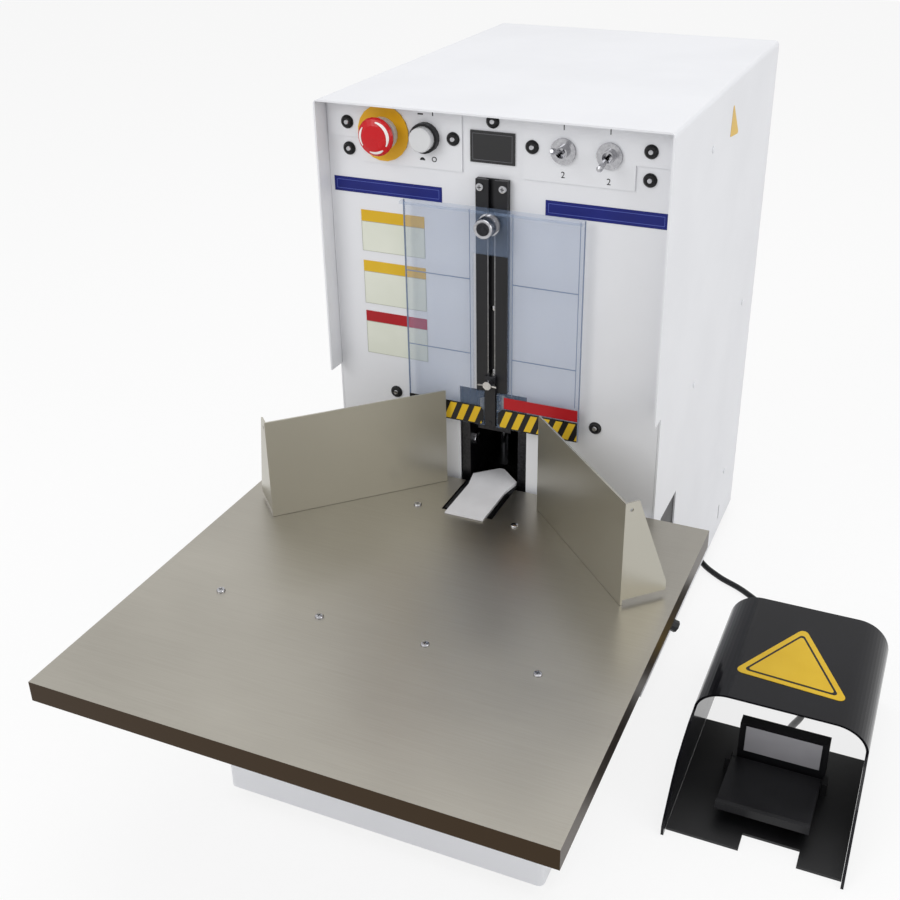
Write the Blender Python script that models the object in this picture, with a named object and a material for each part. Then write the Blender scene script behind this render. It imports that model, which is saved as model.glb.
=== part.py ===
"""Corner rounder: a powered desk machine that rounds the corner of a stack of sheets.

A white casing stands on a base plate. A steel table with two upright fences guides the stack into a
throat, where a curved blade comes down on a plastic pad. A foot switch stands beside the machine.

All pieces are placed in the machine's own axes: X to the right, Y to the back, Z up, with zero at the
middle of the machine, at the plane of the cover's front edge and at the underside of the base plate.
The empty machine_frame carries them and puts the part's origin on the floor, at the middle of its box.
"""

from math import atan, ceil, cos, pi, radians, sin, sqrt, tan

import bmesh
import bpy
from mathutils import Matrix, Vector

# Driving dimensions, in metres. Angles are in degrees.

# Clearances and cuts
GAP = 0.0003
RUNNING_GAP = 0.001
OVERRUN = 0.002
ROUND_SIDES = 20
SMALL_SIDES = 8
HOLE_SIDES = 8

# Casing
COVER_WIDTH = 0.380
COVER_HEIGHT = 0.676
COVER_DEPTH = 0.513
COVER_SHEET = 0.002
COVER_CORNER = 0.005
COVER_STEP_HEIGHT = 0.3715
PANEL_RECESS = 0.0232
PANEL_SHEET = 0.002
REAR_RECESS = 0.016
BASE_SHEET = 0.003
FOOT_HEIGHT = 0.012
FOOT_RADIUS = 0.015
FOOT_MARGIN = 0.040
FOOT_FRONT_INSET = 0.031
FOOT_BACK_INSET = 0.028
SIDE_SLOT_INSET = 0.095
SIDE_SLOT_WIDTH = 0.005
SIDE_SLOT_LOW = 0.021
SIDE_SLOT_HIGH = 0.044
VENT_COUNT = 6
VENT_LENGTH = 0.060
VENT_HEIGHT = 0.005
VENT_PITCH = 0.020
VENT_X = 0.070
VENT_LOW = 0.380
SIDE_SCREW_TOP_DROP = 0.055
SIDE_SCREW_FRONT_HIGH = 0.167
SIDE_SCREW_FRONT_MID = 0.172
SIDE_SCREW_INSET_MID = 0.078
SIDE_SCREW_INSET_LOW = 0.085
SIDE_SCREW_BACK_Z = 0.351
SIDE_SCREW_FRONT_Z = 0.346
SIDE_SCREW_LOW_Z = 0.096
REAR_SCREW_INSET = 0.015
REAR_SCREW_DROP = 0.026
REAR_SCREW_MID = 0.340
REAR_SCREW_LOW = 0.040

# Lower housing under the table
HOUSING_WIDTH = 0.360
HOUSING_FRONT = -0.286
HOUSING_SHEET = 0.002
HOUSING_CORNER = 0.006
HOUSING_FLANGE = 0.016

# Table
TABLE_TOP = 0.254
TABLE_SHEET = 0.0015
TABLE_LEFT = -0.247
TABLE_RIGHT = 0.253
TABLE_FRONT = -0.460
TABLE_BACK = 0.015
TABLE_RIM = 0.021
TABLE_SLOT_HALF = 0.030
TABLE_SLOT_FRONT = -0.053
TABLE_SCREW_FRONT = -0.2775
TABLE_SCREW_MARGIN = 0.013
TABLE_SCREW_INNER = 0.05585
BED_SCREW_X = 0.0576
BED_SCREW_Y = -0.056

# Screws
SCREW_HEAD_RADIUS = 0.0042
SCREW_HEAD_HEIGHT = 0.002
SCREW_SHANK_RADIUS = 0.002
SCREW_HOLE_RADIUS = 0.0024
SCREW_SHANK_LENGTH = 0.009
WASHER_RADIUS = 0.0065
WASHER_HEIGHT = 0.001

# Fences: two sheets at 45 degrees whose lines meet at the apex
APEX_Y = 0.0535
FENCE_ANGLE = 45
FENCE_SHEET = 0.002
FENCE_TOP = 0.369
FENCE_LEFT_START = 0.069
FENCE_LEFT_END = 0.272
FENCE_RIGHT_START = 0.095
FENCE_RIGHT_END = 0.289
FENCE_FOOT_WIDTH = 0.016
FENCE_SCREW_OFFSET = 0.009
FENCE_TRAVEL = 0.006
FENCE_LEFT_SCREWS = (0.110, 0.200)
FENCE_RIGHT_SCREWS = (0.130, 0.200)
WING_TOP_WIDTH = 0.015
WING_LOW_WIDTH = 0.050
WING_LOW_HEIGHT = 0.270
WING_BOTTOM = 0.260
WING_HOLE_RADIUS = 0.002
WING_HOLE_DROP = 0.008

# Bed and cutting pad
BED_THICKNESS = 0.026
BED_WIDE_HALF = 0.070
BED_FRONT = -0.075
BED_STEP_Y = 0.0175
BED_BACK = 0.140
PAD_HALF = 0.0225
PAD_FRONT = -0.061
PAD_PROUD = 0.002
PAD_FLARE_START = 0.005
PAD_FLARE_Y = 0.029
PAD_FLARE_HALF = 0.027
PAD_TIP_Y = 0.0515
PAD_TIP_HALF = 0.003
STRIP_INNER = 0.0245
STRIP_OUTER = 0.0275
STRIP_FRONT = -0.050
STRIP_BACK = 0.003
STRIP_PROUD = 0.0005
CHIP_HOLE_HALF = 0.026
CHIP_HOLE_BACK = 0.068

# Cutting head frame: two plates, joined at the back and at the crown
THROAT_HALF = 0.029
PLATE_THICKNESS = 0.010
FRAME_FRONT = 0.026
FRAME_NOSE = -0.060
FRAME_BACK = 0.330
RAM_HEADROOM = 0.065
SPINE_THICKNESS = 0.030
CROWN_FRONT = 0.062
CROWN_BACK = 0.130
CROWN_THICKNESS = 0.040
OPENING_HALF = 0.040
OPENING_TOP = 0.3684
THROAT_BOLT_Y = 0.040
THROAT_BOLT_Z = 0.298
THROAT_BOLT_RADIUS = 0.0065
THROAT_BOLT_HEIGHT = 0.0035

# Ram, blade and clamp
STROKE = 0.0617
BLADE_EDGE = 0.318
BLADE_HEIGHT = 0.034
BLADE_THICKNESS = 0.007
BLADE_LAND = 0.0008
BLADE_BEVEL = 0.008
BLADE_RADIUS = 0.010
BLADE_WING_HALF = 0.020
ARC_STEPS = 6
HOLDER_HALF = 0.022
HOLDER_BACK = 0.078
HOLDER_TOP = 0.400
SHELF_THICKNESS = 0.008
SHELF_FRONT = 0.0265
RAM_HALF = 0.028
RAM_BACK = 0.116
RAM_LOW = 0.345
RAM_HIGH = 0.445
ROD_RADIUS = 0.007
ROD_X = 0.017
ROD_Y = 0.100
CLAMP_CLEARANCE = 0.0006
CLAMP_THICKNESS = 0.006
CLAMP_FRONT = 0.0275
CLAMP_ROD_Y = 0.0340
CLAMP_ROD_RADIUS = 0.003
CLAMP_COLLAR_RADIUS = 0.006
CLAMP_COLLAR_HEIGHT = 0.004
SPRING_RADIUS = 0.005
SPRING_WIRE_RADIUS = 0.0005
SPRING_TURNS = 7
SPRING_POINTS = 8

# Drive: a toothed rack on the ram's back and a pinion on a cross shaft
MODULE = 0.0025
TEETH = 16
PRESSURE_ANGLE = 20
TOOTH_SHARE = 0.44
ADDENDUM_SHARE = 0.85
DEDENDUM_SHARE = 1.2
FLANK_STEPS = 2
PINION_Z = 0.420
PINION_HALF = 0.009
RACK_HALF = 0.010
RACK_BODY = 0.006
RACK_LOW = 0.360
RACK_TEETH_BELOW = 2
SHAFT_RADIUS = 0.006
SHAFT_LEFT = 0.062
BEARING_RADIUS = 0.012
GEARBOX_LEFT = -0.110
GEARBOX_FRONT = 0.105
GEARBOX_BACK = 0.180
GEARBOX_HALF_HEIGHT = 0.036
MOTOR_RADIUS = 0.032
MOTOR_BACK = 0.315
BOX_EDGE = 0.020
BOX_WIDTH = 0.110
BOX_FRONT = 0.220
BOX_BACK_INSET = 0.053
BOX_TOP = 0.180

# Chip chute and drawer
CHUTE_WALL = 0.0015
CHUTE_TOP_FRONT = 0.030
CHUTE_TOP_BACK = 0.072
CHUTE_LOW_FRONT = 0.064
CHUTE_LOW_BACK = 0.106
CHUTE_BOTTOM = 0.204
DRAWER_LEFT = -0.026
DRAWER_FRONT = 0.060
DRAWER_BACK = 0.120
DRAWER_LOW = 0.110
DRAWER_HIGH = 0.200
DRAWER_WALL = 0.002
DOOR_FRONT = 0.056
DOOR_BACK = 0.124
DOOR_LOW = 0.105
DOOR_HIGH = 0.230
DOOR_THICKNESS = 0.008
DOOR_RECESS = 0.002

# Guard: rail, shield and stop
GUARD_X = 0.0015
RAIL_HALF = 0.0175
RAIL_DEPTH = 0.0077
RAIL_LOW = 0.372
RAIL_DROP = 0.068
RAIL_LIP = 0.0024
RAIL_GROOVE_DEPTH = 0.0033
RAIL_GROOVE_HALF = 0.007
RAIL_SLOT_HALF = 0.0033
RAIL_SCREW_X = 0.0125
RAIL_SCREW_DROP = 0.008
GROOVE_SCREW_PLACES = (0.394, 0.468)
GROOVE_SCREW_RADIUS = 0.0034
GROOVE_SCREW_HEIGHT = 0.0014
SHIELD_LEFT = -0.097
SHIELD_RIGHT = 0.103
SHIELD_LOW = 0.331
SHIELD_OVER_KNOB = 0.0155
SHIELD_SHEET = 0.003
SHIELD_LIP = 0.012
SHIELD_NOTCH_HALF = 0.0075
SHIELD_WINDOW_HALF = 0.020
SHIELD_WINDOW_LOW = 0.372
SHIELD_WINDOW_DROP = 0.0335
KNOB_DROP = 0.0445
KNOB_RADIUS = 0.010
KNOB_FLANGE_RADIUS = 0.0120
KNOB_FLANGE = 0.003
KNOB_LENGTH = 0.0195
STUD_RADIUS = 0.003
STUD_LENGTH = 0.016
STOP_STUD_LENGTH = 0.012
NUT_LENGTH = 0.014
WING_SCREW_Z = 0.385
WING_SCREW_SPAN = 0.022
WING_SCREW_HUB_RADIUS = 0.005
WING_SCREW_HUB_LENGTH = 0.009
WING_SCREW_BLADE = 0.0018
WING_SCREW_RISE = 0.007
STOP_HALF = 0.006
STOP_LOW = 0.333
STOP_HIGH = 0.392
STOP_THICKNESS = 0.004

# Control row
SWITCH_SHEET = 0.0015
SWITCH_INNER = 0.033
SWITCH_EDGE = 0.005
SWITCH_DROP = 0.065
SWITCH_NOTCH_EDGE = 0.0415
SWITCH_NOTCH_DROP = 0.040
CONTROL_DROP = 0.033
NAME_HALF = 0.024
NAME_DROP_LOW = 0.053
NAME_DROP_HIGH = 0.021
SCREW_EDGE = 0.0273
PLATE_SCREW_DROP = 0.025
INNER_SCREW_X = 0.0425
INNER_SCREW_DROP = 0.032
PANEL_SCREW_DROP = 0.053
LOW_SCREW_X = 0.1188
LOW_SCREW_Z = 0.347
TOP_SCREW_DROP = 0.011
ESTOP_EDGE = 0.069
ESTOP_RING_RADIUS = 0.029
ESTOP_RING_SHEET = 0.0015
ESTOP_COLLAR_RADIUS = 0.017
ESTOP_COLLAR = 0.007
ESTOP_BARREL_RADIUS = 0.0107
ESTOP_BARREL_END = 0.048
ESTOP_STEM_RADIUS = 0.0066
ESTOP_STEM_END = 0.038
ESTOP_HEAD_RADIUS = 0.020
ESTOP_HEAD_BACK = 0.0083
ESTOP_HEAD_FRONT = -0.003
ESTOP_TRAVEL = 0.004
NECK_SHARE = 0.62
HEAD_SHARES = ((0.72, 0.18), (0.98, 0.30), (1.0, 0.45), (0.92, 0.66), (0.62, 0.90))
BLOCK_HALF = 0.015
BLOCK_DEPTH = 0.030
BUTTON_EDGE = 0.117
BUTTON_BEZEL_RADIUS = 0.0155
BUTTON_BEZEL = 0.0072
BUTTON_BARREL_RADIUS = 0.0137
BUTTON_CAP_RADIUS = 0.0125
BUTTON_CAP_PROUD = 0.0080
BUTTON_CAP_LENGTH = 0.020
BUTTON_TRAVEL = 0.004
BUTTON_BARREL_END = 0.050
TOGGLE_AUTO_EDGE = 0.115
TOGGLE_START_EDGE = 0.068
TOGGLE_FLANGE_RADIUS = 0.013
TOGGLE_FLANGE = 0.0026
TOGGLE_BUSH_RADIUS = 0.0065
TOGGLE_BUSH = 0.006
TOGGLE_POCKET_RADIUS = 0.0052
TOGGLE_POCKET_DEPTH = 0.007
TOGGLE_LEVER = 0.027
TOGGLE_ROOT_RADIUS = 0.0018
TOGGLE_TIP_RADIUS = 0.0033
TOGGLE_UP_ANGLE = 16
TOGGLE_DOWN_ANGLE = -10
TOGGLE_BLOCK_WIDTH = 0.014
TOGGLE_BLOCK_HEIGHT = 0.028

# Clamp lever under the table
LEVER_MARGIN = 0.020
LEVER_Y = -0.100
LEVER_HUB_RADIUS = 0.009
LEVER_HUB_LOW = 0.214
LEVER_HUB_HIGH = 0.232
LEVER_STUD_RADIUS = 0.004
LEVER_ROOT_Z = 0.224
LEVER_REACH = 0.047
LEVER_TIP_Y = -0.083
LEVER_TIP_Z = 0.194
LEVER_ROOT_RADIUS = 0.0045
LEVER_TIP_RADIUS = 0.0065

# Rear sockets
SOCKET_X = 0.008
SOCKET_Z = 0.060
SOCKET_RADIUS = 0.009
SOCKET_NUT_RADIUS = 0.012
SOCKET_NUT = 0.004
SOCKET_LENGTH = 0.0135
SOCKET_INSIDE = 0.015
INLET_EDGE = 0.080
INLET_Z = 0.060
INLET_WIDTH = 0.048
INLET_HEIGHT = 0.030
INLET_FLANGE = 0.004
INLET_FLANGE_SHEET = 0.003
INLET_DEPTH = 0.024
INLET_WALL = 0.004

# Foot switch
PEDAL_LEFT = 0.266
PEDAL_RIGHT = 0.452
PEDAL_HEIGHT = 0.110
PEDAL_SHELL = 0.003
PEDAL_CORNER = 0.037
BEND_STEPS = 12
PEDAL_BACK = 0.138
PEDAL_FRONT = -0.164
PEDAL_BASE_FRONT = -0.155
PEDAL_BASE_BACK = 0.026
PEDAL_BASE_SHEET = 0.003
PEDAL_NOTCH_LEFT = 0.345
PEDAL_NOTCH_RIGHT = 0.404
PEDAL_NOTCH_DEPTH = 0.023
SWITCH_BOX_LEFT = 0.316
SWITCH_BOX_RIGHT = 0.412
SWITCH_BOX_FRONT = -0.030
SWITCH_BOX_BACK = -0.016
SWITCH_BOX_HEIGHT = 0.059
FACE_MARGIN = 0.006
FACE_LOW = 0.022
FACE_PROUD = 0.0015
GLAND_X = 0.364
GLAND_HEIGHT = 0.032
GLAND_RADIUS = 0.008
GLAND_LENGTH = 0.014
TREADLE_LEFT = 0.312
TREADLE_RIGHT = 0.410
TREADLE_PIVOT_Y = -0.0395
TREADLE_PIVOT_HEIGHT = 0.012
TREADLE_HUB_RADIUS = 0.0055
TREADLE_FRONT = -0.127
TREADLE_RISE = 0.009
TREADLE_LIP = 0.010
TREADLE_SHEET = 0.005
PIN_RADIUS = 0.0025
EAR_THICKNESS = 0.006
EAR_HALF = 0.007
EAR_TOP = 0.018

# Cord of the foot switch
CORD_RADIUS = 0.004
CORD_LIFT = 0.0002
CORD_STEP_DIAMETERS = 2.3
COIL_X = 0.060
COIL_Y = 0.620
COIL_RADIUS = 0.052
COIL_PITCH = 0.0088
COIL_LOOPS = 2
COIL_POINTS = 24

# Places that several pieces share
FLOOR = -FOOT_HEIGHT
COVER_HALF = COVER_WIDTH / 2
COVER_INNER = COVER_HALF - COVER_SHEET
INSIDE_HALF = COVER_INNER - GAP
INSIDE_TOP = COVER_HEIGHT - COVER_SHEET - GAP
PANEL_BACK = PANEL_RECESS + PANEL_SHEET
REAR_FACE = COVER_DEPTH - REAR_RECESS
REAR_INNER = REAR_FACE - PANEL_SHEET
FLOOR_PLATE = BASE_SHEET + GAP
HOUSING_HALF = HOUSING_WIDTH / 2
FOOT_ACROSS = HOUSING_WIDTH - FOOT_MARGIN
FOOT_FRONT = HOUSING_FRONT + FOOT_FRONT_INSET
FOOT_BACK = COVER_DEPTH - FOOT_BACK_INSET
SIDE_SLOT_Y = COVER_DEPTH - SIDE_SLOT_INSET
TABLE_SCREW_OUTER = HOUSING_HALF - TABLE_SCREW_MARGIN
LEVER_X = HOUSING_HALF + LEVER_MARGIN
LEVER_TIP = (LEVER_X + LEVER_REACH, LEVER_TIP_Y, LEVER_TIP_Z)
BOX_BACK = COVER_DEPTH - BOX_BACK_INSET
BOX_RIGHT = COVER_HALF - BOX_EDGE
BOX_LEFT = BOX_RIGHT - BOX_WIDTH
INLET_X = COVER_HALF - INLET_EDGE
SWITCH_OUTER = COVER_HALF - SWITCH_EDGE
SWITCH_NOTCH_X = COVER_HALF - SWITCH_NOTCH_EDGE
SWITCH_LOW = COVER_HEIGHT - SWITCH_DROP
SWITCH_NOTCH_Z = COVER_HEIGHT - SWITCH_NOTCH_DROP
CONTROL_Z = COVER_HEIGHT - CONTROL_DROP
NAME_LOW = COVER_HEIGHT - NAME_DROP_LOW
NAME_HIGH = COVER_HEIGHT - NAME_DROP_HIGH
SCREW_X = COVER_HALF - SCREW_EDGE
PLATE_SCREW_PLACES = ((SCREW_X, COVER_HEIGHT - PLATE_SCREW_DROP),
                      (INNER_SCREW_X, COVER_HEIGHT - INNER_SCREW_DROP))
PANEL_SCREW_PLACES = ((SCREW_X, COVER_HEIGHT - PANEL_SCREW_DROP), (LOW_SCREW_X, LOW_SCREW_Z))
TOP_SCREW_Z = COVER_HEIGHT - TOP_SCREW_DROP
SIDE_SCREW_PLACES = ((SIDE_SCREW_FRONT_HIGH, COVER_HEIGHT - SIDE_SCREW_TOP_DROP),
                     (COVER_DEPTH - SIDE_SCREW_INSET_MID, SIDE_SCREW_BACK_Z),
                     (SIDE_SCREW_FRONT_MID, SIDE_SCREW_FRONT_Z),
                     (COVER_DEPTH - SIDE_SCREW_INSET_LOW, SIDE_SCREW_LOW_Z))
REAR_SCREW_X = COVER_HALF - REAR_SCREW_INSET
REAR_SCREW_PLACES = ((REAR_SCREW_X, COVER_HEIGHT - REAR_SCREW_DROP), (REAR_SCREW_X, REAR_SCREW_MID),
                     (REAR_SCREW_X, REAR_SCREW_LOW))
ESTOP_X = ESTOP_EDGE - COVER_HALF
BUTTON_X = BUTTON_EDGE - COVER_HALF
TOGGLE_AUTO_X = COVER_HALF - TOGGLE_AUTO_EDGE
TOGGLE_START_X = COVER_HALF - TOGGLE_START_EDGE
RAIL_HIGH = COVER_HEIGHT - RAIL_DROP
RAIL_SCREW_Z = RAIL_HIGH - RAIL_SCREW_DROP
KNOB_Z = RAIL_HIGH - KNOB_DROP
SHIELD_HIGH = KNOB_Z + SHIELD_OVER_KNOB
SHIELD_WINDOW_HIGH = KNOB_Z - SHIELD_WINDOW_DROP
FRAME_HEIGHT = RAM_HIGH + RAM_HEADROOM + CROWN_THICKNESS
TABLE_UNDER = TABLE_TOP - TABLE_SHEET
SEAT_UNDER_TABLE = TABLE_UNDER - GAP
BED_TOP = SEAT_UNDER_TABLE
BED_BOTTOM = BED_TOP - BED_THICKNESS
BED_HALF = THROAT_HALF - GAP
FRAME_SEAT = BED_BOTTOM - GAP
PLATE_OUTER = THROAT_HALF + PLATE_THICKNESS
SWITCH_BACK = PANEL_RECESS - GAP
SWITCH_FRONT = SWITCH_BACK - SWITCH_SHEET
PITCH_RADIUS = MODULE * TEETH / 2
TOOTH_PITCH = MODULE * pi
RACK_FRONT = RAM_BACK + GAP
RACK_ROOT = RACK_FRONT + RACK_BODY
RACK_PITCH_LINE = RACK_ROOT + MODULE * DEDENDUM_SHARE
PINION_Y = RACK_PITCH_LINE + PITCH_RADIUS + GAP
RAIL_BACK = PANEL_RECESS - GAP
RAIL_FRONT = RAIL_BACK - RAIL_DEPTH
GROOVE_FRONT = RAIL_FRONT + RAIL_LIP
GROOVE_BACK = GROOVE_FRONT + RAIL_GROOVE_DEPTH
SHIELD_BACK = RAIL_FRONT - GAP
SHIELD_FRONT = SHIELD_BACK - SHIELD_SHEET
STOP_FRONT = SHIELD_BACK - STOP_THICKNESS
BLADE_TOP = BLADE_EDGE + BLADE_HEIGHT
BLADE_CENTRE_Y = APEX_Y - BLADE_RADIUS * sqrt(2)
HOLDER_LOW = BLADE_TOP + GAP
SHELF_LOW = HOLDER_TOP - SHELF_THICKNESS
CLAMP_TOP = BLADE_EDGE + CLAMP_THICKNESS
RAM_FRONT = HOLDER_BACK + GAP
CROWN_LOW = FRAME_HEIGHT - CROWN_THICKNESS
CORD_FLOOR = FLOOR + CORD_RADIUS + CORD_LIFT
PEDAL_TOP = FLOOR + PEDAL_HEIGHT
PEDAL_PLATE_TOP = FLOOR + PEDAL_BASE_SHEET
PEDAL_INNER_LEFT = PEDAL_LEFT + PEDAL_SHELL
PEDAL_INNER_RIGHT = PEDAL_RIGHT - PEDAL_SHELL
TREADLE_PIVOT_Z = FLOOR + TREADLE_PIVOT_HEIGHT
CENTRE_X = (TABLE_LEFT + PEDAL_RIGHT) / 2
CENTRE_Y = (TABLE_FRONT + COVER_DEPTH) / 2

# Colours with roughness and metallic value
WHITE = ((0.86, 0.87, 0.89), 0.45, 0.0)
STEEL = ((0.52, 0.51, 0.48), 0.35, 1.0)
BRIGHT = ((0.75, 0.75, 0.75), 0.2, 1.0)
BLACK = ((0.015, 0.015, 0.016), 0.4, 0.0)
DARK = ((0.05, 0.05, 0.055), 0.5, 0.5)
GREY = ((0.35, 0.36, 0.37), 0.5, 0.3)
PLASTIC = ((0.80, 0.81, 0.83), 0.4, 0.0)
CLEAR = ((0.85, 0.88, 0.95), 0.05, 0.0)
RED = ((0.70, 0.02, 0.02), 0.35, 0.0)
YELLOW = ((0.85, 0.62, 0.03), 0.45, 0.0)


def clear_scene():
    """Start from an empty scene."""
    for item in list(bpy.data.objects):
        bpy.data.objects.remove(item, do_unlink=True)


def material(name, look):
    """A plain surface with a colour, a roughness and a metallic value."""
    colour, roughness, metallic = look
    made = bpy.data.materials.new(name)
    made.use_nodes = True
    surface = made.node_tree.nodes["Principled BSDF"]
    surface.inputs["Base Color"].default_value = (*colour, 1)
    surface.inputs["Roughness"].default_value = roughness
    surface.inputs["Metallic"].default_value = metallic
    made.diffuse_color = (*colour, 1)
    return made


def on_axis(axis, across, along):
    """A point from its place along an axis and its two places across it, in X, Y, Z order."""
    place = list(across)
    place.insert("XYZ".index(axis), along)
    return Vector(place)


def box(x, y, z):
    """A block from its low and high place on each axis."""
    return prism([(x[0], y[0]), (x[1], y[0]), (x[1], y[1]), (x[0], y[1])], "Z", z)


def loft(rings, closed=False):
    """A body through rings of points; the end rings are filled, or joined to each other."""
    points = [point for ring in rings for point in ring]
    count = len(rings[0])
    steps = len(rings) if closed else len(rings) - 1
    faces = []
    for step in range(steps):
        low = step * count
        high = (step + 1) % len(rings) * count
        for side in range(count):
            after = (side + 1) % count
            faces.append((low + side, low + after, high + after, high + side))
    if not closed:
        faces.append(tuple(range(count)))
        faces.append(tuple(range(len(points) - count, len(points))))
    return points, faces


def prism(outline, axis, span):
    """An outline across an axis, pushed along it from one place to another."""
    return loft([[on_axis(axis, corner, place) for corner in outline] for place in span])


def circle(centre, radius, sides):
    """The corners of a round outline."""
    turns = [2 * pi * (side + 1 / 2) / sides for side in range(sides)]
    return [(centre[0] + radius * cos(turn), centre[1] + radius * sin(turn)) for turn in turns]


def arc(centre, radius, start, end, steps):
    """Points of a round corner between two angles in degrees."""
    turns = [radians(start + (end - start) * step / steps) for step in range(steps + 1)]
    return [(centre[0] + radius * cos(turn), centre[1] + radius * sin(turn)) for turn in turns]


def turned(profile, axis, centre, sides=ROUND_SIDES, ring=False):
    """A round body from radius and place pairs; a ring has a bore and its profile closes on itself."""
    rings = []
    for radius, along in profile:
        rings.append([on_axis(axis, corner, along) for corner in circle(centre, radius, sides)])
    return loft(rings, closed=ring)


def rod(axis, centre, radius, span, sides=ROUND_SIDES):
    """A straight round bar."""
    return turned([(radius, span[0]), (radius, span[1])], axis, centre, sides)


def tapered_bar(start, end, start_radius, end_radius, sides=SMALL_SIDES):
    """A round bar between any two points."""
    start, end = Vector(start), Vector(end)
    turn = (end - start).to_track_quat("Z", "Y")
    rings = []
    for place, radius in ((start, start_radius), (end, end_radius)):
        rings.append([place + turn @ Vector((*corner, 0)) for corner in circle((0, 0), radius, sides)])
    return loft(rings)


def mesh_from(name, body, pivot):
    """The mesh of a closed body, faces out, seen from its pivot."""
    work = bmesh.new()
    points, faces = body
    corners = [work.verts.new(Vector(point) - Vector(pivot)) for point in points]
    for face in faces:
        work.faces.new([corners[index] for index in face])
    bmesh.ops.recalc_face_normals(work, faces=work.faces)
    mesh = bpy.data.meshes.new(name)
    work.to_mesh(mesh)
    work.free()
    mesh.shade_smooth()
    mesh.set_sharp_from_angle(angle=radians(35))
    return mesh


def place(name, data, pivot, turn=None):
    """An object on the machine's frame."""
    item = bpy.data.objects.new(name, data)
    bpy.context.scene.collection.objects.link(item)
    item.parent = bpy.data.objects["machine_frame"]
    item.location = pivot
    item.rotation_euler.z = radians(turn or 0)
    return item


def make(name, body, look, add=(), cut=(), late=(), pivot=(0, 0, 0), turn=None):
    """One named piece: bodies in add are joined to it, those in cut taken out, those in late joined last.

    A piece with a turn is drawn about its pivot, and turned there about the upright axis.
    """
    start = pivot if turn is None else (0, 0, 0)
    mesh = mesh_from(name, body, start)
    mesh.materials.append(material(name, look))
    item = place(name, mesh, pivot, turn)
    for label, kind, tools in (("add", "UNION", add), ("cut", "DIFFERENCE", cut), ("late", "UNION", late)):
        for number, tool in enumerate(tools):
            title = f"{name}_{label}_{number}"
            cutter = place(title, mesh_from(title, tool, start), pivot, turn)
            cutter.hide_render = True
            cutter.display_type = "WIRE"
            step = item.modifiers.new(title, "BOOLEAN")
            step.operation = kind
            step.object = cutter
            step.solver = "EXACT"
    return item


def screw(axis, centre, seat, out, washer=0.0, shank=SCREW_SHANK_LENGTH):
    """A domed screw set into a face; out is 1 where the head points up the axis, otherwise -1."""
    foot = seat - out * GAP
    rim = seat
    profile = [(SCREW_SHANK_RADIUS, seat - out * shank), (SCREW_SHANK_RADIUS, foot)]
    if washer:
        rim = seat + out * WASHER_HEIGHT
        profile += [(washer, foot), (washer, rim), (SCREW_HEAD_RADIUS, rim)]
    else:
        profile.append((SCREW_HEAD_RADIUS, foot))
    profile.append((SCREW_HEAD_RADIUS, rim + out * SCREW_HEAD_HEIGHT / 2))
    profile.append((SCREW_HEAD_RADIUS / 2, rim + out * SCREW_HEAD_HEIGHT))
    return turned(profile, axis, centre, SMALL_SIDES)


def screw_hole(axis, centre, seat, out, depth=SCREW_SHANK_LENGTH):
    """The hole that a screw's shank passes through, with room at its end."""
    ends = sorted((seat + out * OVERRUN, seat - out * (depth + OVERRUN)))
    return rod(axis, centre, SCREW_HOLE_RADIUS, ends, HOLE_SIDES)


def both_sides(pairs):
    """Each place and its mirror image across the machine's middle plane."""
    return [(side * across, along) for across, along in pairs for side in (-1, 1)]


def u_outline(half, top, sheet, low):
    """The section of a folded sheet: two walls under a roof with round outer corners."""
    corner = COVER_CORNER
    right = arc((half - corner, top - corner), corner, 0, 90, 3)
    left = arc((corner - half, top - corner), corner, 90, 180, 3)
    inner = half - sheet
    roof = top - sheet
    inside = [(-inner, low), (-inner, roof), (inner, roof), (inner, low)]
    return [(half, low)] + right + left + [(-half, low)] + inside




def cover_pieces():
    """The folded cover, with its step at the front, the drawer's door opening and its side screws."""
    span = (0, COVER_DEPTH)
    shell = prism(u_outline(COVER_HALF, COVER_HEIGHT, COVER_SHEET, 0), "Y", span)
    wide = (-COVER_HALF - OVERRUN, COVER_HALF + OVERRUN)
    step = box(wide, (-OVERRUN, PANEL_RECESS), (-OVERRUN, COVER_STEP_HEIGHT))
    wall = (COVER_INNER - OVERRUN, COVER_HALF + OVERRUN)
    door = box(wall, (DOOR_FRONT, DOOR_BACK), (DOOR_LOW, DOOR_HIGH))
    slot_y = (SIDE_SLOT_Y - SIDE_SLOT_WIDTH / 2, SIDE_SLOT_Y + SIDE_SLOT_WIDTH / 2)
    slot = box(wide, slot_y, (SIDE_SLOT_LOW, SIDE_SLOT_HIGH))
    screws = []
    for spot in SIDE_SCREW_PLACES:
        screws.append(screw("X", spot, COVER_HALF, 1, shank=COVER_SHEET + SCREW_SHANK_RADIUS))
        screws.append(screw("X", spot, -COVER_HALF, -1, shank=COVER_SHEET + SCREW_SHANK_RADIUS))
    make("cover", shell, WHITE, cut=[step, door, slot], late=screws)


def panel_holes(spots, depth_span):
    """Round holes for the switches and screws that cross a sheet of the control row."""
    holes = []
    for spot, radius in spots:
        sides = ROUND_SIDES if radius > WASHER_RADIUS else HOLE_SIDES
        holes.append(rod("Y", spot, radius, depth_span, sides))
    return holes


def control_holes(side):
    """The holes of the controls on one side of the middle, with a running clearance."""
    if side < 0:
        return [((ESTOP_X, CONTROL_Z), ESTOP_BARREL_RADIUS + GAP),
                ((BUTTON_X, CONTROL_Z), BUTTON_BARREL_RADIUS + GAP)]
    bush = TOGGLE_BUSH_RADIUS + GAP
    return [((TOGGLE_AUTO_X, CONTROL_Z), bush), ((TOGGLE_START_X, CONTROL_Z), bush)]


def ringed_screw(spot, seat):
    """A screw on its washer, on the front of a sheet."""
    return screw("Y", spot, seat, -1, washer=WASHER_RADIUS)


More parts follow.
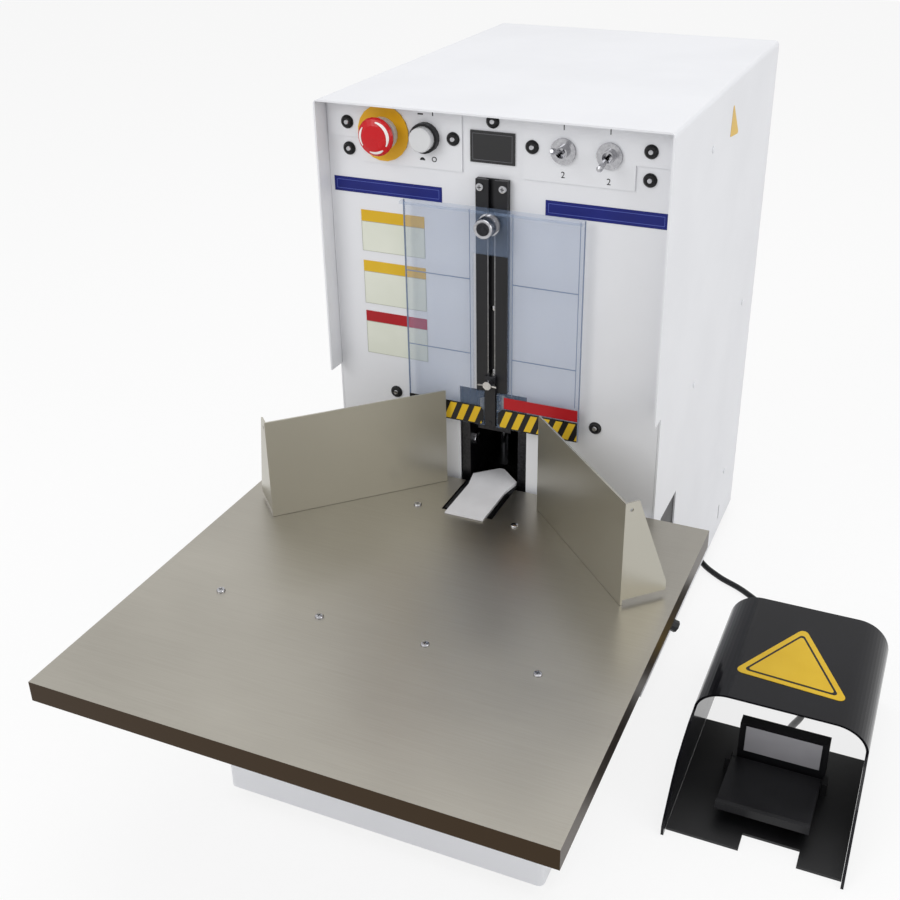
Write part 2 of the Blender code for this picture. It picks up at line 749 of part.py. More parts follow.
def rail_screw_spots():
    """The two screws beside each other at the top of the guard's rail."""
    return [(GUARD_X + side * RAIL_SCREW_X, RAIL_SCREW_Z) for side in (-1, 1)]


def front_panel():
    """The recessed front sheet, open below around the cutting head."""
    low, top, half = FLOOR_PLATE, INSIDE_TOP, INSIDE_HALF
    outline = [(-half, low), (-OPENING_HALF, low), (-OPENING_HALF, OPENING_TOP), (OPENING_HALF, OPENING_TOP),
               (OPENING_HALF, low), (half, low), (half, top), (-half, top)]
    span = (PANEL_RECESS, PANEL_BACK)
    through = (PANEL_RECESS - OVERRUN, PANEL_BACK + OVERRUN)
    spots = control_holes(-1) + control_holes(1)
    crossing = both_sides(PLATE_SCREW_PLACES) + rail_screw_spots()
    spots += [(spot, SCREW_HOLE_RADIUS) for spot in crossing]
    own = both_sides(PANEL_SCREW_PLACES) + [(0, TOP_SCREW_Z)]
    screws = [ringed_screw(spot, PANEL_RECESS) for spot in own]
    make("front_panel", prism(outline, "Y", span), WHITE, cut=panel_holes(spots, through), late=screws)


def switch_plates():
    """The two sheets that carry the controls, each with a notch at its lower outer corner."""
    for side, name in ((-1, "switch_plate_left"), (1, "switch_plate_right")):
        corners = [(SWITCH_INNER, SWITCH_LOW), (SWITCH_NOTCH_X, SWITCH_LOW), (SWITCH_NOTCH_X, SWITCH_NOTCH_Z),
                   (SWITCH_OUTER, SWITCH_NOTCH_Z), (SWITCH_OUTER, INSIDE_TOP), (SWITCH_INNER, INSIDE_TOP)]
        outline = [(side * across, height) for across, height in corners]
        spots = [(side * across, height) for across, height in PLATE_SCREW_PLACES]
        screws = [ringed_screw(spot, SWITCH_FRONT) for spot in spots]
        holes = panel_holes(control_holes(side), (SWITCH_FRONT - OVERRUN, SWITCH_BACK + OVERRUN))
        make(name, prism(outline, "Y", (SWITCH_FRONT, SWITCH_BACK)), WHITE, cut=holes, late=screws)
    name_span = (SWITCH_BACK - SWITCH_SHEET, SWITCH_BACK)
    make("nameplate", box((-NAME_HALF, NAME_HALF), name_span, (NAME_LOW, NAME_HIGH)), BLACK)


def rear_pieces():
    """The recessed rear sheet with its vents, the mains inlet and the foot switch socket."""
    through = (REAR_INNER - OVERRUN, REAR_FACE + OVERRUN)
    cuts = []
    for row in range(VENT_COUNT):
        low = VENT_LOW + row * VENT_PITCH
        for middle in (-VENT_X, VENT_X):
            span = (middle - VENT_LENGTH / 2, middle + VENT_LENGTH / 2)
            cuts.append(box(span, through, (low, low + VENT_HEIGHT)))
    cuts.append(rod("Y", (SOCKET_X, SOCKET_Z), SOCKET_RADIUS + GAP, through))
    width, height = INLET_WIDTH / 2, INLET_HEIGHT / 2
    cuts.append(box((INLET_X - width - GAP, INLET_X + width + GAP), through,
                    (INLET_Z - height - GAP, INLET_Z + height + GAP)))
    screws = [screw("Y", spot, REAR_FACE, 1) for spot in both_sides(REAR_SCREW_PLACES)]
    panel = box((-INSIDE_HALF, INSIDE_HALF), (REAR_INNER, REAR_FACE), (FLOOR_PLATE, INSIDE_TOP))
    make("rear_panel", panel, WHITE, cut=cuts, late=screws)
    flange_face = REAR_FACE + GAP + INLET_FLANGE_SHEET
    body = box((INLET_X - width, INLET_X + width), (REAR_FACE - INLET_DEPTH, flange_face - GAP),
               (INLET_Z - height, INLET_Z + height))
    rim_x, rim_z = width + INLET_FLANGE, height + INLET_FLANGE
    flange = box((INLET_X - rim_x, INLET_X + rim_x), (REAR_FACE + GAP, flange_face),
                 (INLET_Z - rim_z, INLET_Z + rim_z))
    mouth = box((INLET_X - width + INLET_WALL, INLET_X + width - INLET_WALL),
                (REAR_FACE - INLET_DEPTH + INLET_WALL, flange_face + OVERRUN),
                (INLET_Z - height + INLET_WALL, INLET_Z + height - INLET_WALL))
    make("power_inlet", body, BLACK, add=[flange], cut=[mouth])
    nut = REAR_FACE + GAP + SOCKET_NUT
    profile = [(SOCKET_RADIUS, REAR_FACE - SOCKET_INSIDE), (SOCKET_RADIUS, REAR_FACE + GAP),
               (SOCKET_NUT_RADIUS, REAR_FACE + GAP), (SOCKET_NUT_RADIUS, nut), (SOCKET_RADIUS, nut),
               (SOCKET_RADIUS, REAR_FACE + SOCKET_LENGTH)]
    make("pedal_socket", turned(profile, "Y", (SOCKET_X, SOCKET_Z)), DARK)


def base_pieces():
    """The base plate, narrower under the table, and its four feet."""
    narrow = HOUSING_HALF - HOUSING_SHEET - GAP
    front = HOUSING_FRONT + HOUSING_SHEET + GAP
    back = COVER_DEPTH - COVER_SHEET
    outline = [(-narrow, front), (narrow, front), (narrow, PANEL_RECESS), (INSIDE_HALF, PANEL_RECESS),
               (INSIDE_HALF, back), (-INSIDE_HALF, back), (-INSIDE_HALF, PANEL_RECESS),
               (-narrow, PANEL_RECESS)]
    make("base_plate", prism(outline, "Z", (0, BASE_SHEET)), GREY)
    for end, along in (("front", FOOT_FRONT), ("back", FOOT_BACK)):
        for side, across in (("left", -FOOT_ACROSS / 2), ("right", FOOT_ACROSS / 2)):
            make(f"rubber_foot_{end}_{side}", rod("Z", (across, along), FOOT_RADIUS, (FLOOR, -GAP)), BLACK)


def lower_housing():
    """The white body under the table: a front and two side walls with a flange on top."""
    half, front, back, corner = HOUSING_HALF, HOUSING_FRONT, PANEL_RECESS - GAP, HOUSING_CORNER
    outline = [(half, back), (-half, back)]
    outline += arc((corner - half, front + corner), corner, 180, 270, 3)
    outline += arc((half - corner, front + corner), corner, 270, 360, 3)
    shell = prism(outline, "Z", (0, SEAT_UNDER_TABLE))
    wall = HOUSING_SHEET
    room = box((wall - half, half - wall), (front + wall, back + OVERRUN),
               (-OVERRUN, SEAT_UNDER_TABLE - wall))
    rim = wall + HOUSING_FLANGE
    mouth = box((rim - half, half - rim), (front + rim, back + OVERRUN),
                (SEAT_UNDER_TABLE - wall - OVERRUN, SEAT_UNDER_TABLE + OVERRUN))
    holes = [screw_hole("Z", spot, SEAT_UNDER_TABLE, 1) for spot in front_table_screws()]
    make("lower_housing", shell, WHITE, cut=[room, mouth] + holes)


def front_table_screws():
    """The four screws along the table's middle, over the housing's front flange."""
    return both_sides(((TABLE_SCREW_OUTER, TABLE_SCREW_FRONT), (TABLE_SCREW_INNER, TABLE_SCREW_FRONT)))


def bed_screws():
    """The two screws that hold the table to the bed."""
    return both_sides(((BED_SCREW_X, BED_SCREW_Y),))


def fence_point(side, along, out):
    """A place on a fence seen from above: how far from the apex, and how far behind its face."""
    turn = radians(FENCE_ANGLE)
    across = side * (along * cos(turn) + out * sin(turn))
    return (across, APEX_Y - along * sin(turn) + out * cos(turn))


def fence_screw_spots():
    """Where the screws of the two fences stand."""
    spots = [fence_point(-1, along, FENCE_SCREW_OFFSET) for along in FENCE_LEFT_SCREWS]
    return spots + [fence_point(1, along, FENCE_SCREW_OFFSET) for along in FENCE_RIGHT_SCREWS]


def table_pieces():
    """The steel table, a shallow tray upside down, and every screw that shows on it."""
    low = TABLE_TOP - TABLE_RIM
    tray = box((TABLE_LEFT, TABLE_RIGHT), (TABLE_FRONT, TABLE_BACK), (low, TABLE_TOP))
    room = box((TABLE_LEFT + TABLE_SHEET, TABLE_RIGHT - TABLE_SHEET),
               (TABLE_FRONT + TABLE_SHEET, TABLE_BACK + OVERRUN),
               (low - OVERRUN, TABLE_UNDER))
    slot = box((-TABLE_SLOT_HALF, TABLE_SLOT_HALF), (TABLE_SLOT_FRONT, TABLE_BACK + OVERRUN),
               (TABLE_UNDER - OVERRUN, TABLE_TOP + OVERRUN))
    screws = [screw("Z", spot, TABLE_TOP, 1) for spot in front_table_screws() + bed_screws()]
    foot_top = TABLE_TOP + GAP + FENCE_SHEET
    screws += [screw("Z", spot, foot_top + 2 * GAP, 1) for spot in fence_screw_spots()]
    make("table", tray, STEEL, cut=[room, slot], late=screws)


def fence(name, side, start, end, screws):
    """An upright sheet with a foot and a tapered wing at its outer end, both folded to the back.

    It is drawn along X from the apex, with its back to +Y, and turned by 45 degrees into its place.
    """
    low = TABLE_TOP + GAP

    def bar(first, last, out, heights):
        return box(sorted((side * first, side * last)), out, heights)

    face = bar(start, end, (0, FENCE_SHEET), (low, FENCE_TOP))
    foot = bar(start, end - WING_TOP_WIDTH, (FENCE_SHEET / 2, FENCE_FOOT_WIDTH), (low, low + FENCE_SHEET))
    side_view = [(FENCE_SHEET / 2, WING_BOTTOM), (WING_LOW_WIDTH, WING_BOTTOM),
                 (WING_LOW_WIDTH, WING_LOW_HEIGHT),
                 (WING_TOP_WIDTH, FENCE_TOP), (FENCE_SHEET / 2, FENCE_TOP)]
    wing = prism(side_view, "X", sorted((side * (end - FENCE_SHEET), side * end)))
    slot_half = FENCE_TRAVEL + SCREW_HOLE_RADIUS
    slot_out = (FENCE_SCREW_OFFSET - SCREW_HOLE_RADIUS, FENCE_SCREW_OFFSET + SCREW_HOLE_RADIUS)
    slot_z = (low - OVERRUN, low + FENCE_SHEET + OVERRUN)
    cuts = [bar(along - slot_half, along + slot_half, slot_out, slot_z) for along in screws]
    hole_spot = (WING_TOP_WIDTH - WING_HOLE_DROP, FENCE_TOP - WING_HOLE_DROP)
    hole_span = sorted((side * (end - FENCE_SHEET - OVERRUN), side * (end + OVERRUN)))
    cuts.append(rod("X", hole_spot, WING_HOLE_RADIUS, hole_span, HOLE_SIDES))
    make(name, face, STEEL, add=[foot, wing], cut=cuts, pivot=(0, APEX_Y, 0), turn=-side * FENCE_ANGLE)


def pad_outline(front, back_margin):
    """The pad seen from above: straight sides, a flare and a blunt point under the blade."""
    tip, flare = PAD_TIP_Y + back_margin, PAD_FLARE_HALF + back_margin
    right = [(PAD_HALF, front), (PAD_HALF, PAD_FLARE_START), (flare, PAD_FLARE_Y), (PAD_TIP_HALF, tip)]
    return right + [(-across, along) for across, along in reversed(right)]


def bed_pieces():
    """The bed under the blade, with its chip opening, two strips and the cutting pad."""
    outline = [(-BED_WIDE_HALF, BED_FRONT), (BED_WIDE_HALF, BED_FRONT), (BED_WIDE_HALF, BED_STEP_Y),
               (BED_HALF, BED_STEP_Y), (BED_HALF, BED_BACK), (-BED_HALF, BED_BACK), (-BED_HALF, BED_STEP_Y),
               (-BED_WIDE_HALF, BED_STEP_Y)]
    bed = prism(outline, "Z", (BED_BOTTOM, BED_TOP))
    strips = []
    for side in (-1, 1):
        across = sorted((side * STRIP_INNER, side * STRIP_OUTER))
        strips.append(box(across, (STRIP_FRONT, STRIP_BACK), (BED_TOP - OVERRUN, TABLE_TOP + STRIP_PROUD)))
    margin = RUNNING_GAP
    chip_front = PAD_FLARE_Y + PAD_FLARE_HALF - CHIP_HOLE_HALF + 2 * margin
    chips = [(CHIP_HOLE_HALF, CHIP_HOLE_BACK), (CHIP_HOLE_HALF, chip_front),
             (PAD_TIP_HALF, PAD_TIP_Y + margin),
             (-PAD_TIP_HALF, PAD_TIP_Y + margin), (-CHIP_HOLE_HALF, chip_front),
             (-CHIP_HOLE_HALF, CHIP_HOLE_BACK)]
    hole = prism(chips, "Z", (BED_BOTTOM - OVERRUN, BED_TOP + OVERRUN))
    holes = [screw_hole("Z", spot, BED_TOP, 1) for spot in bed_screws()]
    make("bed_block", bed, GREY, add=strips, cut=[hole] + holes)
    pad_top = TABLE_TOP + PAD_PROUD
    pad = prism(pad_outline(TABLE_SLOT_FRONT + GAP, 0), "Z", (TABLE_UNDER, pad_top))
    lip = box((-PAD_HALF, PAD_HALF), (PAD_FRONT, TABLE_SLOT_FRONT + OVERRUN), (TABLE_TOP + GAP, pad_top))
    make("cutting_pad", pad, PLASTIC, add=[lip])


def clamp_lever():
    """The lever under the table's right edge, turning on an upright stud."""
    hub = rod("Z", (LEVER_X, LEVER_Y), LEVER_HUB_RADIUS, (LEVER_HUB_LOW, LEVER_HUB_HIGH))
    stud = rod("Z", (LEVER_X, LEVER_Y), LEVER_STUD_RADIUS, (LEVER_HUB_HIGH - OVERRUN, SEAT_UNDER_TABLE))
    arm = tapered_bar((LEVER_X, LEVER_Y, LEVER_ROOT_Z), LEVER_TIP, LEVER_ROOT_RADIUS, LEVER_TIP_RADIUS)
    make("clamp_lever", hub, BLACK, add=[stud, arm], pivot=(LEVER_X, LEVER_Y, LEVER_ROOT_Z))


def chute_ring(half, front, back, height):
    """One level of the chute's wall."""
    return [Vector((x, y, height)) for x, y in ((-half, front), (half, front), (half, back), (-half, back))]


def chip_pieces():
    """The slanted chute under the bed and the drawer that catches the chips."""
    outer = [(CHUTE_TOP_FRONT, CHUTE_TOP_BACK, FRAME_SEAT), (CHUTE_LOW_FRONT, CHUTE_LOW_BACK, CHUTE_BOTTOM)]
    rings = [chute_ring(BED_HALF, front, back, height) for front, back, height in outer]
    inner = [chute_ring(BED_HALF - CHUTE_WALL, front + CHUTE_WALL, back - CHUTE_WALL, height)
             for front, back, height in reversed(outer)]
    make("chip_chute", loft(rings + inner, closed=True), STEEL)
    left, right = DRAWER_LEFT, COVER_HALF - DOOR_RECESS
    tray = box((left, right - DOOR_THICKNESS / 2), (DRAWER_FRONT, DRAWER_BACK), (DRAWER_LOW, DRAWER_HIGH))
    margin = RUNNING_GAP
    door = box((right - DOOR_THICKNESS, right), (DOOR_FRONT + margin, DOOR_BACK - margin),
               (DOOR_LOW + margin, DOOR_HIGH - margin))
    wall = DRAWER_WALL
    room = box((left + wall, right - DOOR_THICKNESS - wall), (DRAWER_FRONT + wall, DRAWER_BACK - wall),
               (DRAWER_LOW + wall, DRAWER_HIGH + OVERRUN))
    make("chip_drawer", tray, BLACK, add=[door], cut=[room])


def guard_rail():
    """The upright rail with a T groove along its front, and its screws."""
    low, high = RAIL_LOW, RAIL_HIGH
    half, slot, groove = RAIL_HALF, RAIL_SLOT_HALF, RAIL_GROOVE_HALF
    right = [(half, RAIL_BACK), (half, RAIL_FRONT), (slot, RAIL_FRONT), (slot, GROOVE_FRONT),
             (groove, GROOVE_FRONT), (groove, GROOVE_BACK)]
    outline = right + [(-across, along) for across, along in reversed(right)]
    outline = [(GUARD_X + across, along) for across, along in outline]
    screws = [screw("Y", spot, RAIL_FRONT, -1, shank=RAIL_DEPTH + PANEL_SHEET + OVERRUN)
              for spot in rail_screw_spots()]
    pockets = []
    for height in GROOVE_SCREW_PLACES:
        spot = (GUARD_X, height)
        pockets.append(rod("Y", spot, GROOVE_SCREW_RADIUS,
                           (GROOVE_BACK - OVERRUN, GROOVE_BACK + GROOVE_SCREW_HEIGHT),
                           HOLE_SIDES))
    make("guard_rail", prism(outline, "Z", (low, high)), BLACK, cut=pockets, late=screws)


def groove_nut(middle, reach):
    """A nut in the T groove, its neck in the slot, and a stud that stands out to the front."""
    half = NUT_LENGTH / 2
    nut = box((GUARD_X - RAIL_GROOVE_HALF + GAP, GUARD_X + RAIL_GROOVE_HALF - GAP),
              (GROOVE_FRONT + GAP, GROOVE_BACK - GAP),
              (middle - half, middle + half))
    neck = box((GUARD_X - RAIL_SLOT_HALF + GAP, GUARD_X + RAIL_SLOT_HALF - GAP),
               (RAIL_FRONT, GROOVE_FRONT + RUNNING_GAP), (middle - half, middle + half))
    stud = rod("Y", (GUARD_X, middle), STUD_RADIUS, (RAIL_FRONT - reach, RAIL_FRONT + RUNNING_GAP))
    return nut, [neck, stud]


def shield_pieces():
    """The clear shield, the nut that carries it on the rail and the knob that clamps it."""
    lip_front = SHIELD_BACK - SHIELD_LIP
    outline = [(SHIELD_BACK, SHIELD_LOW), (SHIELD_BACK, SHIELD_HIGH), (lip_front, SHIELD_HIGH),
               (lip_front, SHIELD_HIGH - SHIELD_SHEET), (SHIELD_FRONT, SHIELD_HIGH - SHIELD_SHEET),
               (SHIELD_FRONT, SHIELD_LOW)]
    sheet = prism(outline, "X", (SHIELD_LEFT, SHIELD_RIGHT))
    through = (SHIELD_FRONT - OVERRUN, SHIELD_BACK + OVERRUN)
    notch = box((GUARD_X - SHIELD_NOTCH_HALF, GUARD_X + SHIELD_NOTCH_HALF), through,
                (SHIELD_LOW - OVERRUN, SHIELD_WINDOW_LOW + OVERRUN))
    window = box((GUARD_X - SHIELD_WINDOW_HALF, GUARD_X + SHIELD_WINDOW_HALF), through,
                 (SHIELD_WINDOW_LOW, SHIELD_WINDOW_HIGH))
    spot = (GUARD_X, KNOB_Z)
    hole = rod("Y", spot, STUD_RADIUS + GAP, through)
    make("shield", sheet, CLEAR, cut=[notch, window, hole])
    nut, parts = groove_nut(KNOB_Z, STUD_LENGTH)
    make("shield_slider", nut, STEEL, add=parts)
    back = SHIELD_FRONT - GAP
    front = back - KNOB_LENGTH
    bore = STUD_RADIUS + GAP
    bore_end = RAIL_FRONT - STUD_LENGTH - GAP
    profile = [(0.0, bore_end), (bore, bore_end), (bore, back), (KNOB_FLANGE_RADIUS, back),
               (KNOB_FLANGE_RADIUS, back - KNOB_FLANGE), (KNOB_RADIUS, back - KNOB_FLANGE),
               (KNOB_RADIUS, front + GAP), (KNOB_RADIUS - RUNNING_GAP, front), (0.0, front)]
    make("shield_knob", turned_solid(profile, "Y", spot), STEEL, pivot=(GUARD_X, back, KNOB_Z))


def turned_solid(profile, axis, centre, sides=ROUND_SIDES):
    """A round body with a blind bore: its profile starts and ends on the axis."""
    points = [on_axis(axis, centre, profile[0][1])]
    for radius, along in profile[1:-1]:
        points += [on_axis(axis, corner, along) for corner in circle(centre, radius, sides)]
    points.append(on_axis(axis, centre, profile[-1][1]))
    last = len(points) - 1
    faces = []
    for side in range(sides):
        after = (side + 1) % sides
        faces.append((0, 1 + side, 1 + after))
        for ring in range(len(profile) - 3):
            low, high = 1 + ring * sides, 1 + (ring + 1) * sides
            faces.append((low + side, low + after, high + after, high + side))
        faces.append((last - sides + after, last - sides + side, last))
    return points, faces


def stop_pieces():
    """The stop bar in front of the rail, the nut that carries it and its wing screw."""
    spot = (GUARD_X, WING_SCREW_Z)
    bar = box((GUARD_X - STOP_HALF, GUARD_X + STOP_HALF), (STOP_FRONT, SHIELD_BACK), (STOP_LOW, STOP_HIGH))
    hole = rod("Y", spot, STUD_RADIUS + GAP, (STOP_FRONT - OVERRUN, SHIELD_BACK + OVERRUN))
    bolt_seat = (GUARD_X, STOP_LOW + STOP_HALF / 2)
    bolt = rod("Y", bolt_seat, SCREW_SHANK_RADIUS, (STOP_FRONT - RUNNING_GAP, STOP_FRONT + RUNNING_GAP),
               SMALL_SIDES)
    make("stop_bar", bar, BLACK, add=[bolt], cut=[hole])
    nut, parts = groove_nut(WING_SCREW_Z, STOP_STUD_LENGTH)
    make("stop_slider", nut, STEEL, add=parts)
    back = STOP_FRONT - GAP
    end = back - WING_SCREW_HUB_LENGTH
    bore_end = RAIL_FRONT - STOP_STUD_LENGTH - GAP
    bore = STUD_RADIUS + GAP
    hub = turned_solid([(0.0, bore_end), (bore, bore_end), (bore, back), (WING_SCREW_HUB_RADIUS, back),
                        (WING_SCREW_HUB_RADIUS, end), (0.0, end)], "Y", spot, SMALL_SIDES)
    wings = []
    for side in (-1, 1):
        tip = side * WING_SCREW_SPAN / 2
        root = side * (STUD_RADIUS + RUNNING_GAP)
        rise = WING_SCREW_BLADE / 2
        near = (GUARD_X + root, back - WING_SCREW_RISE / 3)
        far = (GUARD_X + root, end + RUNNING_GAP)
        outline = [near, (GUARD_X + tip, back - WING_SCREW_RISE), (GUARD_X + tip, end), far]
        wings.append(prism(outline, "Z", (WING_SCREW_Z - rise, WING_SCREW_Z + rise)))
    make("wing_screw", hub, BRIGHT, add=wings, pivot=(GUARD_X, back, WING_SCREW_Z))


def emergency_stop():
    """The mushroom switch: ring, body, stem and turning head."""
    spot = (ESTOP_X, CONTROL_Z)
    ring_back = SWITCH_FRONT - GAP
    ring_front = ring_back - ESTOP_RING_SHEET
    bore = ESTOP_BARREL_RADIUS + GAP
    ring = [(bore, ring_back), (ESTOP_RING_RADIUS, ring_back), (ESTOP_RING_RADIUS, ring_front),
            (bore, ring_front)]
    make("estop_ring", turned(ring, "Y", spot, ring=True), YELLOW)
    collar_back = ring_front - GAP
    collar_front = collar_back - ESTOP_COLLAR
    well = ESTOP_STEM_RADIUS + GAP
    well_end = ESTOP_STEM_END + ESTOP_TRAVEL + RUNNING_GAP
    profile = [(0.0, well_end), (well, well_end), (well, collar_front), (ESTOP_COLLAR_RADIUS, collar_front),
               (ESTOP_COLLAR_RADIUS, collar_back), (ESTOP_BARREL_RADIUS, collar_back),
               (ESTOP_BARREL_RADIUS, ESTOP_BARREL_END), (0.0, ESTOP_BARREL_END)]
    block = box((ESTOP_X - BLOCK_HALF, ESTOP_X + BLOCK_HALF),
                (ESTOP_BARREL_END - OVERRUN, ESTOP_BARREL_END + BLOCK_DEPTH),
                (CONTROL_Z - BLOCK_HALF, CONTROL_Z + BLOCK_HALF))
    make("estop_body", turned_solid(profile, "Y", spot), GREY, add=[block])
    head_well = ESTOP_HEAD_FRONT + ESTOP_COLLAR
    stem = rod("Y", spot, ESTOP_STEM_RADIUS, (head_well + GAP, ESTOP_STEM_END))
    make("estop_stem", stem, BLACK, pivot=(ESTOP_X, ESTOP_HEAD_BACK, CONTROL_Z))
    depth = ESTOP_HEAD_BACK - ESTOP_HEAD_FRONT
    radius = ESTOP_HEAD_RADIUS
    profile = [(0.0, head_well), (well, head_well), (well, ESTOP_HEAD_BACK),
               (radius * NECK_SHARE, ESTOP_HEAD_BACK)]
    profile += [(radius * across, ESTOP_HEAD_BACK - depth * out) for across, out in HEAD_SHARES]
    profile.append((0.0, ESTOP_HEAD_FRONT))
    make("estop_head", turned_solid(profile, "Y", spot), RED, pivot=(ESTOP_X, ESTOP_HEAD_BACK, CONTROL_Z))


def power_button():
    """The round button: a black bezel and barrel with a pale cap in its bore."""
    spot = (BUTTON_X, CONTROL_Z)
    back = SWITCH_FRONT - GAP
    front = back - BUTTON_BEZEL
    bore = BUTTON_CAP_RADIUS + GAP
    cap_front = front - BUTTON_CAP_PROUD
    cap_end = cap_front + BUTTON_CAP_LENGTH
    well_end = cap_end + BUTTON_TRAVEL + RUNNING_GAP
    profile = [(0.0, well_end), (bore, well_end), (bore, front), (BUTTON_BEZEL_RADIUS, front),
               (BUTTON_BEZEL_RADIUS, back), (BUTTON_BARREL_RADIUS, back),
               (BUTTON_BARREL_RADIUS, BUTTON_BARREL_END), (0.0, BUTTON_BARREL_END)]
    make("power_button_body", turned_solid(profile, "Y", spot), BLACK)
    rim = BUTTON_CAP_RADIUS - RUNNING_GAP
    cap = turned([(rim, cap_front), (BUTTON_CAP_RADIUS, cap_front + RUNNING_GAP),
                  (BUTTON_CAP_RADIUS, cap_end)],
                 "Y", spot)
    make("power_button_cap", cap, PLASTIC, pivot=(BUTTON_X, cap_front, CONTROL_Z))


def toggle(name, across, angle):
    """A toggle switch: flange, bush and block, and a lever that rocks in the bush's pocket."""
    spot = (across, CONTROL_Z)
    back = SWITCH_FRONT - GAP
    flange = back - TOGGLE_FLANGE
    front = flange - TOGGLE_BUSH
    pocket = front + TOGGLE_POCKET_DEPTH
    bottom = TOGGLE_ROOT_RADIUS + 2 * RUNNING_GAP
    barrel_end = PANEL_BACK + RUNNING_GAP
    profile = [(0.0, pocket), (bottom, pocket), (TOGGLE_POCKET_RADIUS, front), (TOGGLE_BUSH_RADIUS, front),
               (TOGGLE_BUSH_RADIUS, flange), (TOGGLE_FLANGE_RADIUS, flange), (TOGGLE_FLANGE_RADIUS, back),
               (TOGGLE_BUSH_RADIUS, back), (TOGGLE_BUSH_RADIUS, barrel_end), (0.0, barrel_end)]
    block = box((across - TOGGLE_BLOCK_WIDTH / 2, across + TOGGLE_BLOCK_WIDTH / 2),
                (barrel_end - RUNNING_GAP / 2, barrel_end + BLOCK_DEPTH),
                (CONTROL_Z - TOGGLE_BLOCK_HEIGHT / 2, CONTROL_Z + TOGGLE_BLOCK_HEIGHT / 2))
    make(name + "_body", turned_solid(profile, "Y", spot), BRIGHT, add=[block])
    pivot_y = pocket - TOGGLE_POCKET_DEPTH / 2
    root_y = pocket - RUNNING_GAP - pivot_y
    turn = radians(angle)
    tip_y = front - TOGGLE_LEVER - pivot_y
    stations = ((TOGGLE_ROOT_RADIUS, root_y), (TOGGLE_ROOT_RADIUS, 0.0),
                (TOGGLE_TIP_RADIUS, tip_y + TOGGLE_TIP_RADIUS), (TOGGLE_TIP_RADIUS / 2, tip_y))
    rings = []
    for radius, along in stations:
        ring = []
        for side, up in circle((0, 0), radius, SMALL_SIDES):
            ring.append(Vector((across + side, pivot_y + along * cos(turn) + up * sin(turn),
                                CONTROL_Z - along * sin(turn) + up * cos(turn))))
        rings.append(ring)
    make(name + "_lever", loft(rings), BRIGHT, pivot=(across, pivot_y, CONTROL_Z))


def frame_plate(side):
    """One side plate of the cutting head, with a low nose under the table."""
    outline = [(FRAME_NOSE, FLOOR_PLATE), (FRAME_BACK, FLOOR_PLATE), (FRAME_BACK, FRAME_HEIGHT),
               (FRAME_FRONT, FRAME_HEIGHT), (FRAME_FRONT, FRAME_SEAT), (FRAME_NOSE, FRAME_SEAT)]
    return prism(outline, "X", sorted((side * THROAT_HALF, side * PLATE_OUTER)))


def head_frame():
    """Two side plates joined by a spine and a crown, with the drawer's window and the bearing holes."""
    overlap = (-THROAT_HALF - OVERRUN, THROAT_HALF + OVERRUN)
    spine = box(overlap, (FRAME_BACK - SPINE_THICKNESS, FRAME_BACK), (FLOOR_PLATE, FRAME_HEIGHT))
    crown = box(overlap, (CROWN_FRONT, CROWN_BACK), (CROWN_LOW, FRAME_HEIGHT))
    bolt = rod("X", (THROAT_BOLT_Y, THROAT_BOLT_Z), THROAT_BOLT_RADIUS,
               (-THROAT_HALF - OVERRUN, THROAT_BOLT_HEIGHT - THROAT_HALF), 6)
    window = box((THROAT_HALF - OVERRUN, PLATE_OUTER + OVERRUN), (DRAWER_FRONT - GAP, DRAWER_BACK + GAP),
                 (DRAWER_LOW - GAP, DRAWER_HIGH + RUNNING_GAP))
    through = (-PLATE_OUTER - OVERRUN, PLATE_OUTER + OVERRUN)
    bearings = rod("X", (PINION_Y, PINION_Z), BEARING_RADIUS + GAP, through)
    make("head_frame", frame_plate(-1), DARK, add=[spine, frame_plate(1), crown, bolt],
         cut=[window, bearings])
    for name, across in (("guide_rod_left", -ROD_X), ("guide_rod_right", ROD_X)):
        make(name, rod("Z", (across, ROD_Y), ROD_RADIUS, (BED_TOP + GAP, CROWN_LOW - GAP)), BRIGHT)


def blade_line(offset, half):
    """The blade's line seen from above, moved out from the cutting face: a wing, the corner, a wing."""
    radius = BLADE_RADIUS + offset
    bend = arc((0, BLADE_CENTRE_Y), radius, 135, 45, ARC_STEPS)
    reach = half + offset / sqrt(2)
    end_y = APEX_Y + offset * sqrt(2) - reach
    return [(-reach, end_y)] + bend + [(reach, end_y)]


